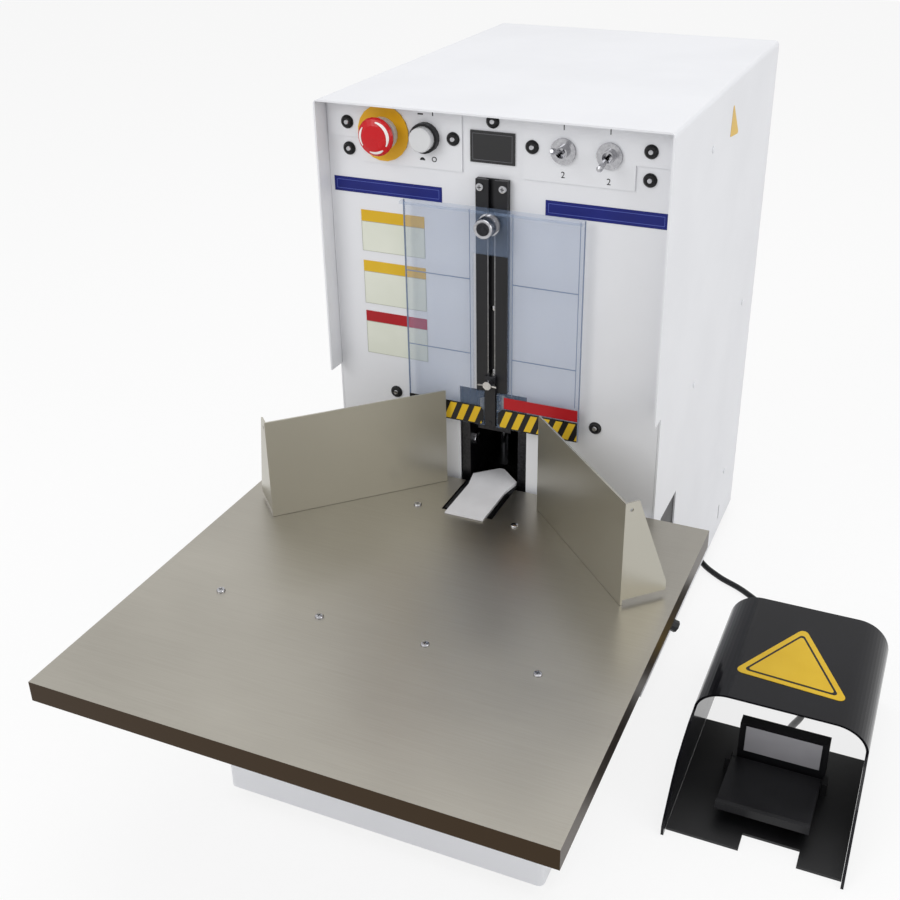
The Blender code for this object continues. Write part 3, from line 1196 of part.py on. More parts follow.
def blade_pieces():
    """The curved blade, the holder over it and the ram that slides on the rods."""
    rings = []
    for height, thickness in ((BLADE_EDGE, BLADE_LAND), (BLADE_EDGE + BLADE_BEVEL, BLADE_THICKNESS),
                              (BLADE_TOP, BLADE_THICKNESS)):
        outline = blade_line(0, BLADE_WING_HALF) + list(reversed(blade_line(thickness, BLADE_WING_HALF)))
        rings.append([Vector((x, y, height)) for x, y in outline])
    make("blade", loft(rings), BRIGHT, pivot=(0, BLADE_CENTRE_Y, BLADE_EDGE))
    face = blade_line(0, HOLDER_HALF)
    outline = [(-HOLDER_HALF, HOLDER_BACK)] + face + [(HOLDER_HALF, HOLDER_BACK)]
    block = prism(outline, "Z", (HOLDER_LOW, HOLDER_TOP))
    shelf = box((-HOLDER_HALF + RUNNING_GAP, HOLDER_HALF - RUNNING_GAP),
                (SHELF_FRONT, HOLDER_BACK - RUNNING_GAP),
                (SHELF_LOW, HOLDER_TOP + RUNNING_GAP))
    hole = rod("Z", (0, CLAMP_ROD_Y), CLAMP_ROD_RADIUS + GAP, (SHELF_LOW - OVERRUN, HOLDER_TOP + OVERRUN))
    make("blade_holder", block, GREY, add=[shelf], cut=[hole], pivot=(0, HOLDER_BACK, HOLDER_LOW))
    ram = box((-RAM_HALF, RAM_HALF), (RAM_FRONT, RAM_BACK), (RAM_LOW, RAM_HIGH))
    bores = [rod("Z", spot, ROD_RADIUS + GAP, (RAM_LOW - OVERRUN, RAM_HIGH + OVERRUN))
             for spot in both_sides(((ROD_X, ROD_Y),))]
    make("ram", ram, STEEL, cut=bores, pivot=(0, ROD_Y, RAM_LOW))


def clamp_foot():
    """The foot that holds the stack inside the blade's corner, hung on a sprung rod."""
    face = blade_line(-CLAMP_CLEARANCE, BLADE_WING_HALF)
    outline = [(face[0][0], CLAMP_FRONT)] + face + [(face[-1][0], CLAMP_FRONT)]
    foot = prism(outline, "Z", (BLADE_EDGE, CLAMP_TOP))
    seat = HOLDER_TOP + RUNNING_GAP + GAP
    stem = rod("Z", (0, CLAMP_ROD_Y), CLAMP_ROD_RADIUS, (CLAMP_TOP - RUNNING_GAP, seat + RUNNING_GAP))
    collar = rod("Z", (0, CLAMP_ROD_Y), CLAMP_COLLAR_RADIUS, (seat, seat + CLAMP_COLLAR_HEIGHT))
    make("clamp_foot", foot, STEEL, add=[stem, collar], pivot=(0, CLAMP_ROD_Y, BLADE_EDGE))
    low = CLAMP_TOP + SPRING_WIRE_RADIUS + GAP
    high = SHELF_LOW - SPRING_WIRE_RADIUS - GAP
    count = SPRING_TURNS * SPRING_POINTS
    points = []
    for step in range(count + 1):
        turn = 2 * pi * step / SPRING_POINTS
        height = (high - low) * step / count
        points.append((SPRING_RADIUS * cos(turn), SPRING_RADIUS * sin(turn), height))
    tube("clamp_spring", points, SPRING_WIRE_RADIUS, BRIGHT, 1, pivot=(0, CLAMP_ROD_Y, low))


def tooth_half_angle(radius):
    """Half the angle that a pinion tooth fills at a radius, by the involute of its base circle."""
    base = PITCH_RADIUS * cos(radians(PRESSURE_ANGLE))

    def involute(reach):
        slope = sqrt(max(reach * reach - base * base, 0)) / base
        return slope - atan(slope)

    pitch_half = TOOTH_SHARE * TOOTH_PITCH / (2 * PITCH_RADIUS)
    return pitch_half + involute(PITCH_RADIUS) - involute(max(radius, base))


def drive_pieces():
    """The rack on the ram, the pinion and its shaft, the bearings and the geared motor."""
    tip = PITCH_RADIUS + MODULE * ADDENDUM_SHARE
    root = PITCH_RADIUS - MODULE * DEDENDUM_SHARE
    base = PITCH_RADIUS * cos(radians(PRESSURE_ANGLE))
    radii = [root] + [base + (tip - base) * step / FLANK_STEPS for step in range(FLANK_STEPS + 1)]
    outline = []
    for tooth in range(TEETH):
        middle = pi + 2 * pi * tooth / TEETH
        flank = [(radius, tooth_half_angle(radius)) for radius in radii]
        for radius, half in flank:
            outline.append((PINION_Y + radius * cos(middle - half), PINION_Z + radius * sin(middle - half)))
        for radius, half in reversed(flank):
            outline.append((PINION_Y + radius * cos(middle + half), PINION_Z + radius * sin(middle + half)))
    gear = prism(outline, "X", (-PINION_HALF, PINION_HALF))
    shaft = rod("X", (PINION_Y, PINION_Z), SHAFT_RADIUS, (-SHAFT_LEFT, PLATE_OUTER))
    make("pinion_shaft", gear, STEEL, add=[shaft], pivot=(0, PINION_Y, PINION_Z))
    slope = tan(radians(PRESSURE_ANGLE))
    half_pitch = TOOTH_SHARE * TOOTH_PITCH / 2
    crest = half_pitch - MODULE * ADDENDUM_SHARE * slope
    foot = half_pitch + MODULE * DEDENDUM_SHARE * slope
    crest_y = RACK_PITCH_LINE + MODULE * ADDENDUM_SHARE
    count = RACK_TEETH_BELOW + ceil(STROKE / TOOTH_PITCH) + RACK_TEETH_BELOW
    teeth = []
    for tooth in range(count):
        middle = PINION_Z + (tooth - RACK_TEETH_BELOW + 1 / 2) * TOOTH_PITCH
        teeth += [(RACK_ROOT, middle - foot), (crest_y, middle - crest), (crest_y, middle + crest),
                  (RACK_ROOT, middle + foot)]
    high = PINION_Z + (count - RACK_TEETH_BELOW) * TOOTH_PITCH
    outline = [(RACK_FRONT, RACK_LOW), (RACK_ROOT, RACK_LOW)] + teeth
    outline += [(RACK_ROOT, high), (RACK_FRONT, high)]
    make("drive_rack", prism(outline, "X", (-RACK_HALF, RACK_HALF)), STEEL, pivot=(0, RACK_FRONT, RACK_LOW))
    spot = (PINION_Y, PINION_Z)
    bore = SHAFT_RADIUS + GAP
    for name, span in (("shaft_bearing_left", (-PLATE_OUTER, -THROAT_HALF)),
                       ("shaft_bearing_right", (THROAT_HALF, PLATE_OUTER))):
        ring = [(bore, span[0]), (BEARING_RADIUS, span[0]), (BEARING_RADIUS, span[1]), (bore, span[1])]
        make(name, turned(ring, "X", spot, ring=True), BRIGHT)
    right = -PLATE_OUTER - GAP
    gearbox = box((GEARBOX_LEFT, right), (GEARBOX_FRONT, GEARBOX_BACK),
                  (PINION_Z - GEARBOX_HALF_HEIGHT, PINION_Z + GEARBOX_HALF_HEIGHT))
    motor_x = (GEARBOX_LEFT + right) / 2
    motor = rod("Y", (motor_x, PINION_Z), MOTOR_RADIUS, (GEARBOX_BACK - OVERRUN, MOTOR_BACK))
    well = rod("X", spot, bore, (-SHAFT_LEFT - RUNNING_GAP, right + OVERRUN))
    make("gear_motor", gearbox, DARK, add=[motor], cut=[well])
    controls = box((BOX_LEFT, BOX_RIGHT), (BOX_FRONT, BOX_BACK), (FLOOR_PLATE, BOX_TOP))
    make("control_box", controls, GREY)


def hood_section(left, right, top, corner):
    """The section of the pedal's hood: upright walls under a roof with round corners."""
    bend = arc((right - corner, top - corner), corner, 0, 90, BEND_STEPS)
    bend += arc((left + corner, top - corner), corner, 90, 180, BEND_STEPS)
    return bend


SIDE_CURVE = ((-0.054, 0.112), (-0.046, 0.077), (-0.066, 0.075), (-0.092, 0.068), (-0.115, 0.060),
              (-0.132, 0.047), (-0.146, 0.032), (-0.160, 0.017), (PEDAL_FRONT, 0.011))


def pedal_shell():
    """The arched hood, open at both ends, its side walls falling in a curve to the front."""
    outer = hood_section(PEDAL_LEFT, PEDAL_RIGHT, PEDAL_TOP, PEDAL_CORNER)
    inner = hood_section(PEDAL_INNER_LEFT, PEDAL_INNER_RIGHT, PEDAL_TOP - PEDAL_SHELL,
                         PEDAL_CORNER - PEDAL_SHELL)
    outline = [(PEDAL_RIGHT, FLOOR)] + outer + [(PEDAL_LEFT, FLOOR)]
    outline += [(PEDAL_INNER_LEFT, FLOOR)] + list(reversed(inner)) + [(PEDAL_INNER_RIGHT, FLOOR)]
    shell = prism(outline, "Y", (PEDAL_FRONT, PEDAL_BACK))
    curve = [(along, FLOOR + height) for along, height in SIDE_CURVE]
    above = PEDAL_TOP + OVERRUN
    front = PEDAL_FRONT - OVERRUN
    away = [(front, curve[-1][1]), (front, above), (curve[0][0], above)]
    cut = prism(curve + away, "X", (PEDAL_LEFT - OVERRUN, PEDAL_RIGHT + OVERRUN))
    make("pedal_hood", shell, BLACK, cut=[cut])


def pedal_pieces():
    """The pedal's base with its two ears, the switch box and the treadle on its pin."""
    left, right = PEDAL_INNER_LEFT + GAP, PEDAL_INNER_RIGHT - GAP
    notch_back = PEDAL_BASE_FRONT + PEDAL_NOTCH_DEPTH
    outline = [(left, PEDAL_BASE_FRONT), (PEDAL_NOTCH_LEFT, PEDAL_BASE_FRONT), (PEDAL_NOTCH_LEFT, notch_back),
               (PEDAL_NOTCH_RIGHT, notch_back), (PEDAL_NOTCH_RIGHT, PEDAL_BASE_FRONT),
               (right, PEDAL_BASE_FRONT),
               (right, PEDAL_BASE_BACK), (left, PEDAL_BASE_BACK)]
    plate = prism(outline, "Z", (FLOOR, PEDAL_PLATE_TOP))
    ear_y = (TREADLE_PIVOT_Y - EAR_HALF, TREADLE_PIVOT_Y + EAR_HALF)
    ear_z = (PEDAL_PLATE_TOP - RUNNING_GAP, FLOOR + EAR_TOP)
    outer_left, outer_right = TREADLE_LEFT - GAP - EAR_THICKNESS, TREADLE_RIGHT + GAP + EAR_THICKNESS
    ears = [box((outer_left, outer_left + EAR_THICKNESS), ear_y, ear_z),
            box((outer_right - EAR_THICKNESS, outer_right), ear_y, ear_z)]
    pin_spot = (TREADLE_PIVOT_Y, TREADLE_PIVOT_Z)
    hole = rod("X", pin_spot, PIN_RADIUS + GAP, (outer_left - OVERRUN, outer_right + OVERRUN), HOLE_SIDES)
    make("pedal_base", plate, BLACK, add=ears, cut=[hole])
    box_low = PEDAL_PLATE_TOP + GAP
    box_top = FLOOR + SWITCH_BOX_HEIGHT
    body = box((SWITCH_BOX_LEFT, SWITCH_BOX_RIGHT), (SWITCH_BOX_FRONT, SWITCH_BOX_BACK), (box_low, box_top))
    face = box((SWITCH_BOX_LEFT + FACE_MARGIN, SWITCH_BOX_RIGHT - FACE_MARGIN),
               (SWITCH_BOX_FRONT - FACE_PROUD, SWITCH_BOX_FRONT + OVERRUN),
               (FLOOR + FACE_LOW, box_top - RUNNING_GAP))
    gland = rod("Y", (GLAND_X, FLOOR + GLAND_HEIGHT), GLAND_RADIUS,
                (SWITCH_BOX_BACK - OVERRUN, SWITCH_BOX_BACK + GLAND_LENGTH))
    make("pedal_switch_box", body, GREY, add=[face, gland])
    hub = rod("X", pin_spot, TREADLE_HUB_RADIUS, (TREADLE_LEFT, TREADLE_RIGHT), SMALL_SIDES)
    pin = rod("X", pin_spot, PIN_RADIUS, (outer_left, outer_right), HOLE_SIDES)
    low = TREADLE_PIVOT_Z + TREADLE_RISE
    lip_back = TREADLE_FRONT + TREADLE_SHEET
    outline = [(TREADLE_PIVOT_Y, TREADLE_PIVOT_Z), (lip_back, low), (TREADLE_FRONT, low),
               (TREADLE_FRONT, low + TREADLE_LIP), (lip_back, low + TREADLE_LIP),
               (lip_back, low + TREADLE_SHEET),
               (TREADLE_PIVOT_Y, TREADLE_PIVOT_Z + TREADLE_HUB_RADIUS - RUNNING_GAP / 2)]
    tread = prism(outline, "X", (TREADLE_LEFT + GAP, TREADLE_RIGHT - GAP))
    make("pedal_treadle", hub, BLACK, add=[tread, pin], pivot=((TREADLE_LEFT + TREADLE_RIGHT) / 2, *pin_spot))


def smooth_route(route, step):
    """Evenly spaced points on a smooth curve through a route's own points, with its end runs straight."""
    route = [Vector(point) for point in route]
    fine = []
    parts = 40
    for index in range(1, len(route) - 2):
        before, start, end, after = route[index - 1:index + 3]
        for part in range(parts):
            share = part / parts
            fine.append((2 * start + (end - before) * share
                         + (2 * before - 5 * start + 4 * end - after) * share ** 2
                         + (3 * start - before - 3 * end + after) * share ** 3) / 2)
    fine.append(route[-2])
    length = sum((fine[index + 1] - fine[index]).length for index in range(len(fine) - 1))
    count = max(2, round(length / step))
    spacing = length / count
    points, travelled = [route[0], fine[0]], 0.0
    for index in range(len(fine) - 1):
        run = (fine[index + 1] - fine[index]).length
        while len(points) <= count and travelled + run >= spacing * (len(points) - 1):
            share = (spacing * (len(points) - 1) - travelled) / run
            points.append(fine[index].lerp(fine[index + 1], share))
        travelled += run
    return points + [fine[-1], route[-1]]


def tube(name, points, radius, look, resolution, pivot=(0, 0, 0)):
    """A round cord or wire along its points, with closed ends."""
    curve = bpy.data.curves.new(name, "CURVE")
    curve.dimensions = "3D"
    curve.bevel_depth = radius
    curve.bevel_resolution = resolution
    curve.use_fill_caps = True
    spline = curve.splines.new("POLY")
    spline.points.add(len(points) - 1)
    for target, point in zip(spline.points, points):
        target.co = (*point, 1)
    spline.use_smooth = True
    curve.materials.append(material(name, look))
    place(name, curve, pivot)


def coil_points():
    """The coil's middle line: in along the floor, up where the spiral reverses, and out again on top."""
    turns = COIL_LOOPS * COIL_POINTS
    half = COIL_POINTS // 2
    total = 2 * turns + half
    points = [Vector((COIL_X + COIL_RADIUS, COIL_Y - 2 * CORD_RADIUS, CORD_FLOOR))]
    for step in range(total + 1):
        inward = min(step, total - step)
        radius = COIL_RADIUS - COIL_PITCH * inward / COIL_POINTS
        climb = min(1, max(0, (step - turns) / half))
        turn = 2 * pi * step / COIL_POINTS
        points.append(Vector((COIL_X + radius * cos(turn), COIL_Y + radius * sin(turn),
                              CORD_FLOOR + climb * COIL_PITCH)))
    points.append(points[-1] - Vector((0, 2 * CORD_RADIUS, 0)))
    return points


def least_gap(points, radius):
    """The least gap of a cord to itself, between points more than half a loop apart."""
    least = None
    for first in range(len(points)):
        for second in range(first + COIL_POINTS // 2, len(points) - 1):
            start, end = points[second], points[second + 1]
            run = end - start
            share = max(0, min(1, (points[first] - start).dot(run) / run.length_squared))
            gap = (points[first] - start - run * share).length - 2 * radius
            least = gap if least is None else min(least, gap)
    return least


def cords():
    """The foot switch's cord: out of its gland, under the machine, a coil behind it, and up to its socket."""
    step = 2 * CORD_RADIUS * CORD_STEP_DIAMETERS
    coil = coil_points()
    print("least gap of the coil to itself in metres:", round(least_gap(coil, CORD_RADIUS), 5))
    gland_end = SWITCH_BOX_BACK + GLAND_LENGTH + GAP
    gland_z = FLOOR + GLAND_HEIGHT
    start = coil[0] - Vector((0, GAP, 0))
    route = [(GLAND_X, gland_end, gland_z), (GLAND_X, gland_end + 2 * CORD_RADIUS, gland_z),
             (0.3660, 0.033, 0.008), (0.3720, 0.072, CORD_FLOOR + 0.002), (0.3780, 0.125, CORD_FLOOR),
             (0.3600, 0.185, CORD_FLOOR), (0.3160, 0.245, CORD_FLOOR), (0.2580, 0.294, CORD_FLOOR),
             (0.2180, 0.316, CORD_FLOOR), (0.1850, 0.345, CORD_FLOOR), (0.1500, 0.405, CORD_FLOOR),
             (0.1220, 0.480, CORD_FLOOR), (0.1130, 0.550, CORD_FLOOR), start - Vector((0, 4 * CORD_RADIUS, 0)), start]
    tube("pedal_cord", smooth_route(route, step), CORD_RADIUS, BLACK, 2)
    tube("cord_coil", coil, CORD_RADIUS, BLACK, 1)
    end = coil[-1] - Vector((0, GAP, 0))
    socket_y = REAR_FACE + SOCKET_LENGTH + GAP
    route = [end, end - Vector((0, 2 * CORD_RADIUS, 0)), (0.0080, 0.582, 0.006), (0.0080, 0.562, 0.028),
             (0.0080, 0.545, 0.050), (SOCKET_X, socket_y + 2 * CORD_RADIUS, SOCKET_Z),
             (SOCKET_X, socket_y, SOCKET_Z)]
    tube("cord_tail", smooth_route(route, step / 2), CORD_RADIUS, BLACK, 2)


def build():
    """Every piece of the corner rounder, on a frame whose origin is on the floor under its middle."""
    clear_scene()
    frame = bpy.data.objects.new("machine_frame", None)
    bpy.context.scene.collection.objects.link(frame)
    frame.location = (-CENTRE_X, -CENTRE_Y, FOOT_HEIGHT)
    base_pieces()
    cover_pieces()
    front_panel()
    switch_plates()
    rear_pieces()
    lower_housing()
    table_pieces()
    fence("fence_left", -1, FENCE_LEFT_START, FENCE_LEFT_END, FENCE_LEFT_SCREWS)
    fence("fence_right", 1, FENCE_RIGHT_START, FENCE_RIGHT_END, FENCE_RIGHT_SCREWS)
    bed_pieces()
    clamp_lever()
    chip_pieces()
    guard_rail()
    shield_pieces()
    stop_pieces()
    emergency_stop()
    power_button()
    toggle("toggle_auto", TOGGLE_AUTO_X, TOGGLE_UP_ANGLE)
    toggle("toggle_start", TOGGLE_START_X, TOGGLE_DOWN_ANGLE)
    head_frame()
    blade_pieces()
    clamp_foot()
    drive_pieces()
    pedal_shell()
    pedal_pieces()
    cords()
    bpy.context.view_layer.update()


build()
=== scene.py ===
"""A powered corner rounder for paper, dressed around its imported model."""
from math import cos, pi, radians, sin, tan, tau
import bpy
import bmesh
from mathutils import Matrix, Vector


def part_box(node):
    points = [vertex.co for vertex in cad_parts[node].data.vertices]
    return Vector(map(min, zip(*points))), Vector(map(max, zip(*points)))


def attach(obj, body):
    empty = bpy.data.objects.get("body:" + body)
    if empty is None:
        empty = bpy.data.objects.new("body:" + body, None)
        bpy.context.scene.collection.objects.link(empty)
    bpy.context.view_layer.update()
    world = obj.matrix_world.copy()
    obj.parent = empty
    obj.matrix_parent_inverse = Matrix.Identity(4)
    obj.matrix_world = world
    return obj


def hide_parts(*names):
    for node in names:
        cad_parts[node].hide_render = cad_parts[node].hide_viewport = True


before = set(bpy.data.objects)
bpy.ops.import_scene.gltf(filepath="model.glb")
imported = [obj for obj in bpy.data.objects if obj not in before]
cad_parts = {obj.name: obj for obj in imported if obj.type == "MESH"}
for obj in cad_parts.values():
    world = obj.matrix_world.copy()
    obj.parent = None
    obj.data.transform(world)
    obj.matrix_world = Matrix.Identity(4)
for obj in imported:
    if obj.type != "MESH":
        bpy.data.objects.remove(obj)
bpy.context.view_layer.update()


# The photographer's camera. It stands in front of the machine, right of the table and well above it,
# and looks down at the cabinet. Places are given from the middle of the cabinet's front edge.
MACHINE_ORIGIN = Vector((-0.1025, -0.0265, 0.012))
PHOTO_SIZE = 900
FOCAL_PIXELS = 1193.34
PHOTO_CENTRE = (482.24, 424.9)
SENSOR = 36.0
CAMERA_PLACE = (0.45016, -1.07068, 0.94364)
CAMERA_HEADING = 22.95
CAMERA_DIP = 27.527
CAMERA_ROLL = -0.27


def at(x, y, z):
    """A place on the machine, in metres, as a point of the frame."""
    return MACHINE_ORIGIN + Vector((x, y, z))


lens = bpy.data.cameras.new("camera")
lens.sensor_width = SENSOR
lens.lens = FOCAL_PIXELS / PHOTO_SIZE * SENSOR
lens.shift_x = 0.5 - PHOTO_CENTRE[0] / PHOTO_SIZE
lens.shift_y = PHOTO_CENTRE[1] / PHOTO_SIZE - 0.5
lens.clip_start = 0.05
camera = bpy.data.objects.new("camera", lens)
bpy.context.scene.collection.objects.link(camera)
turn = Matrix.Rotation(radians(CAMERA_HEADING), 4, "Z") @ Matrix.Rotation(radians(90 - CAMERA_DIP), 4, "X")
turn = turn @ Matrix.Rotation(radians(CAMERA_ROLL), 4, "Z")
camera.matrix_world = Matrix.Translation(at(*CAMERA_PLACE)) @ turn
bpy.context.scene.camera = camera
bpy.context.scene.view_settings.view_transform = "Standard"


# The foot switch's cord: one round flexible lead in black PVC with its slight gloss. It leaves the switch
# box, runs over the floor and under the cabinet, and its spare length lies in a coil behind the machine
# before it rises to the socket in the rear panel.
CORD_RADIUS = 0.004
CORD_FLOOR = -0.012 + CORD_RADIUS + 0.0002
COIL_MIDDLE = (0.060, 0.620)
COIL_RADIUS = 0.052
COIL_PITCH = 0.0088
COIL_LOOPS = 2
LOOP_POINTS = 24
FLOOR_STEP, RISE_STEP = 0.009, 0.006
GLAND_END = at(0.364, -0.0017, 0.020)
SOCKET_END = at(0.008, 0.5108, 0.060)
DROP_PLACES = ((0.366, 0.033, 0.008), (0.372, 0.072, CORD_FLOOR + 0.002))
FLOOR_PLACES = ((0.378, 0.125), (0.360, 0.185), (0.316, 0.245), (0.258, 0.294), (0.218, 0.316),
                (0.185, 0.345), (0.150, 0.405), (0.122, 0.480), (0.113, 0.550))
RISE_PLACES = ((0.008, 0.582, 0.006), (0.008, 0.562, 0.028), (0.008, 0.545, 0.050))


def colour(code):
    """An sRGB hex colour as the linear colour that a shader takes."""
    parts = [int(code[place:place + 2], 16) / 255 for place in (1, 3, 5)]
    return [part / 12.92 if part <= 0.04045 else ((part + 0.055) / 1.055) ** 2.4 for part in parts] + [1.0]


def add(tree, kind, settings=None, sockets=None):
    """Adds one node with its settings, values and links, and returns it."""
    node = tree.nodes.new("ShaderNode" + kind)
    for name, value in (settings or {}).items():
        setattr(node, name, value)
    for name, value in (sockets or {}).items():
        socket = node.inputs[name]
        if isinstance(value, bpy.types.NodeSocket):
            tree.links.new(value, socket)
        else:
            socket.default_value = value
    return node


def ramp(tree, fac, *stops):
    """Adds a colour ramp whose stops are pairs of place and hex colour."""
    node = add(tree, "ValToRGB", sockets={"Fac": fac})
    points = node.color_ramp.elements
    while len(points) < len(stops):
        points.new(1.0)
    for point, (place, code) in zip(points, stops):
        point.position = place
        point.color = colour(code)
    return node.outputs["Color"]


def start_material(name):
    """A new material with its shader, and the object's own coordinates."""
    made = bpy.data.materials.new(name)
    made.use_nodes = True
    shader = made.node_tree.nodes["Principled BSDF"]
    places = add(made.node_tree, "TexCoord").outputs["Object"]
    return made, made.node_tree, shader, places


def clouds(tree, places, size_mm, detail):
    """Soft noise whose forms have a given size in millimetres."""
    noise = add(tree, "TexNoise", sockets={"Vector": places, "Scale": 1000 / size_mm, "Detail": detail})
    return noise.outputs["Fac"]


def worn_gloss(tree, shader, value, span, rough):
    """Lets the roughness go from one end of rough to the other over a span of a value."""
    gloss = add(tree, "MapRange", sockets={"Value": value, "From Min": span[0], "From Max": span[1],
                                           "To Min": rough[0], "To Max": rough[1]})
    tree.links.new(gloss.outputs["Result"], shader.inputs["Roughness"])


def bumps(tree, shader, height, distance):
    """Gives a shader a relief of a given depth in metres."""
    relief = add(tree, "Bump", sockets={"Height": height, "Distance": distance, "Strength": 1.0})
    tree.links.new(relief.outputs["Normal"], shader.inputs["Normal"])


def moulded_plastic(name, code, worn, grain_mm, depth, rough=(0.38, 0.5), shine=0.25, coat=0.0):
    """Plastic from a grained mould: a fine even relief, and a finish that handling has made uneven."""
    made, tree, shader, places = start_material(name)
    handled = clouds(tree, places, 60, 3.0)
    tree.links.new(ramp(tree, handled, (0.3, code), (0.75, worn)), shader.inputs["Base Color"])
    worn_gloss(tree, shader, handled, (0.3, 0.7), rough)
    bumps(tree, shader, clouds(tree, places, grain_mm, 2.0), depth)
    shader.inputs["IOR"].default_value = 1.53
    shader.inputs["Specular IOR Level"].default_value = shine
    shader.inputs["Coat Weight"].default_value = coat
    return made


# PVC from an extruder, almost smooth, so the room shows along it as a soft line of light.
soft_pvc = moulded_plastic("soft_pvc", "#131315", "#1E1E21", 1.2, 0.00004, (0.3, 0.42))


def even_route(route, step):
    """Points at even steps along a smooth curve through a route, with straight runs at its ends."""
    route = [Vector(point) for point in route]
    fine = []
    for index in range(1, len(route) - 2):
        before, start, end, after = route[index - 1:index + 3]
        for part in range(40):
            share = part / 40
            fine.append((2 * start + (end - before) * share
                         + (2 * before - 5 * start + 4 * end - after) * share ** 2
                         + (3 * start - before - 3 * end + after) * share ** 3) / 2)
    fine.append(route[-2])
    points, travelled, goal = [route[0]], 0.0, 0.0
    for first, second in zip(fine, fine[1:]):
        run = (second - first).length
        while travelled + run >= goal:
            points.append(first.lerp(second, (goal - travelled) / run))
            goal += step
        travelled += run
    if (points[-1] - fine[-1]).length < step / 2:
        points.pop()
    return points + [fine[-1], route[-1]]


# Two loops wind inward on the floor, climb by one pitch, and wind outward again on top of them.
coil = [at(COIL_MIDDLE[0] + COIL_RADIUS, COIL_MIDDLE[1] - 2 * CORD_RADIUS, CORD_FLOOR)]
turns, half = COIL_LOOPS * LOOP_POINTS, LOOP_POINTS // 2
for step in range(2 * turns + half + 1):
    radius = COIL_RADIUS - COIL_PITCH * min(step, 2 * turns + half - step) / LOOP_POINTS
    climb = min(1, max(0, (step - turns) / half))
    coil.append(at(COIL_MIDDLE[0] + radius * cos(tau * step / LOOP_POINTS),
                   COIL_MIDDLE[1] + radius * sin(tau * step / LOOP_POINTS), CORD_FLOOR + climb * COIL_PITCH))
coil.append(coil[-1] - Vector((0, 2 * CORD_RADIUS, 0)))
straight = Vector((0, 2 * CORD_RADIUS, 0))
floor_run = [GLAND_END, GLAND_END + straight]
floor_run += [at(*place) for place in DROP_PLACES] + [at(x, y, CORD_FLOOR) for x, y in FLOOR_PLACES]
floor_run += [coil[0] - 2 * straight - Vector((0, 0.0003, 0)), coil[0]]
rise = [coil[-1], coil[-1] - straight - Vector((0, 0.0003, 0))]
rise += [at(*place) for place in RISE_PLACES] + [SOCKET_END + straight, SOCKET_END]
line = even_route(floor_run, FLOOR_STEP)[:-1] + coil[:-1] + even_route(rise, RISE_STEP)
cord_curve = bpy.data.curves.new("foot_switch_cord", "CURVE")
cord_curve.dimensions = "3D"
cord_curve.bevel_depth = CORD_RADIUS
cord_curve.bevel_resolution = 3
cord_curve.use_fill_caps = True
spline = cord_curve.splines.new("POLY")
spline.points.add(len(line) - 1)
for target, point in zip(spline.points, line):
    target.co = (*point, 1)
spline.use_smooth = True
cord_curve.materials.append(soft_pvc)
cord_piece = bpy.data.objects.new("foot_switch_cord", cord_curve)
bpy.context.scene.collection.objects.link(cord_piece)
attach(cord_piece, "machine")
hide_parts("pedal_cord", "cord_coil", "cord_tail")


# The strain relief at the rear socket: a tapered soft PVC sleeve with a few rings, moulded onto the cord
# so that it doesn't kink where it enters the socket.
SLEEVE_RINGS = 5
SLEEVE_LENGTH = 0.024
RING_PITCH = 0.0044


def piece_from(name, build, look, body="machine", smooth=True):
    """Makes a piece from a bmesh that build fills, gives it its material and lets it ride."""
    shape = bmesh.new()
    build(shape)
    bmesh.ops.recalc_face_normals(shape, faces=shape.faces[:])
    data = bpy.data.meshes.new(name)
    shape.to_mesh(data)
    shape.free()
    data.materials.append(look)
    made = bpy.data.objects.new(name, data)
    bpy.context.scene.collection.objects.link(made)
    if smooth:
        data.shade_smooth()
        data.set_sharp_from_angle(angle=radians(35))
    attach(made, body)
    return made


def lathe(shape, profile, centre, along="Y", sides=28):
    """Turns a profile of (radius, place) pairs about an axis through a centre; its ends close on the axis."""
    rings = []
    for radius, place in profile:
        ring = []
        for side in range(sides if radius else 1):
            across, up = radius * cos(tau * side / sides), radius * sin(tau * side / sides)
            offset = {"Y": (across, place, up), "Z": (across, up, place), "X": (place, across, up)}[along]
            ring.append(shape.verts.new(Vector(centre) + Vector(offset)))
        rings.append(ring)
    for first, second in zip(rings, rings[1:]):
        for side in range(sides):
            corners = [first[side % len(first)], first[(side + 1) % len(first)],
                       second[(side + 1) % len(second)], second[side % len(second)]]
            corners = list(dict.fromkeys(corners))
            if len(corners) > 2:
                shape.faces.new(corners)
    for ring in (rings[0], rings[-1]):
        if len(ring) > 1:
            shape.faces.new(ring)


sleeve_profile = [(CORD_RADIUS + 0.0003, SLEEVE_LENGTH)]
for ring in range(SLEEVE_RINGS):
    place = 0.022 - ring * RING_PITCH
    width = 0.0052 + ring * 0.00045
    sleeve_profile += [(width, place), (width, place - 0.0030), (width - 0.0008, place - 0.0032),
                       (width - 0.0008, place - 0.0042)]
sleeve_profile += [(0.0074, 0.0002), (CORD_RADIUS, 0.0001)]
piece_from("socket_strain_relief", lambda shape: lathe(shape, sleeve_profile, SOCKET_END), soft_pvc)


# The studio: a pale floor, a white room and three large soft lamps, as for a catalogue photograph. What the
# camera sees of it directly, off a metal or through the clear sheet is white, and the floor keeps its shadow.
FLOOR_Z = 0.0
FLOOR_HALF = 6.0
FLOOR_WHITE_SHARE = 0.82
ROOM_LIGHT = 0.62
ROOM_SEEN = 1.0
LAMPS = (("lamp_front", (-1.6, -2.6, 2.2), (0, 0, 0.3), 1.8, 32),
         ("lamp_top", (0.3, 0.2, 3.0), (0, 0, 0.3), 2.2, 22),
         ("lamp_right", (2.6, -0.6, 1.4), (0.2, 0, 0.3), 1.4, 14))


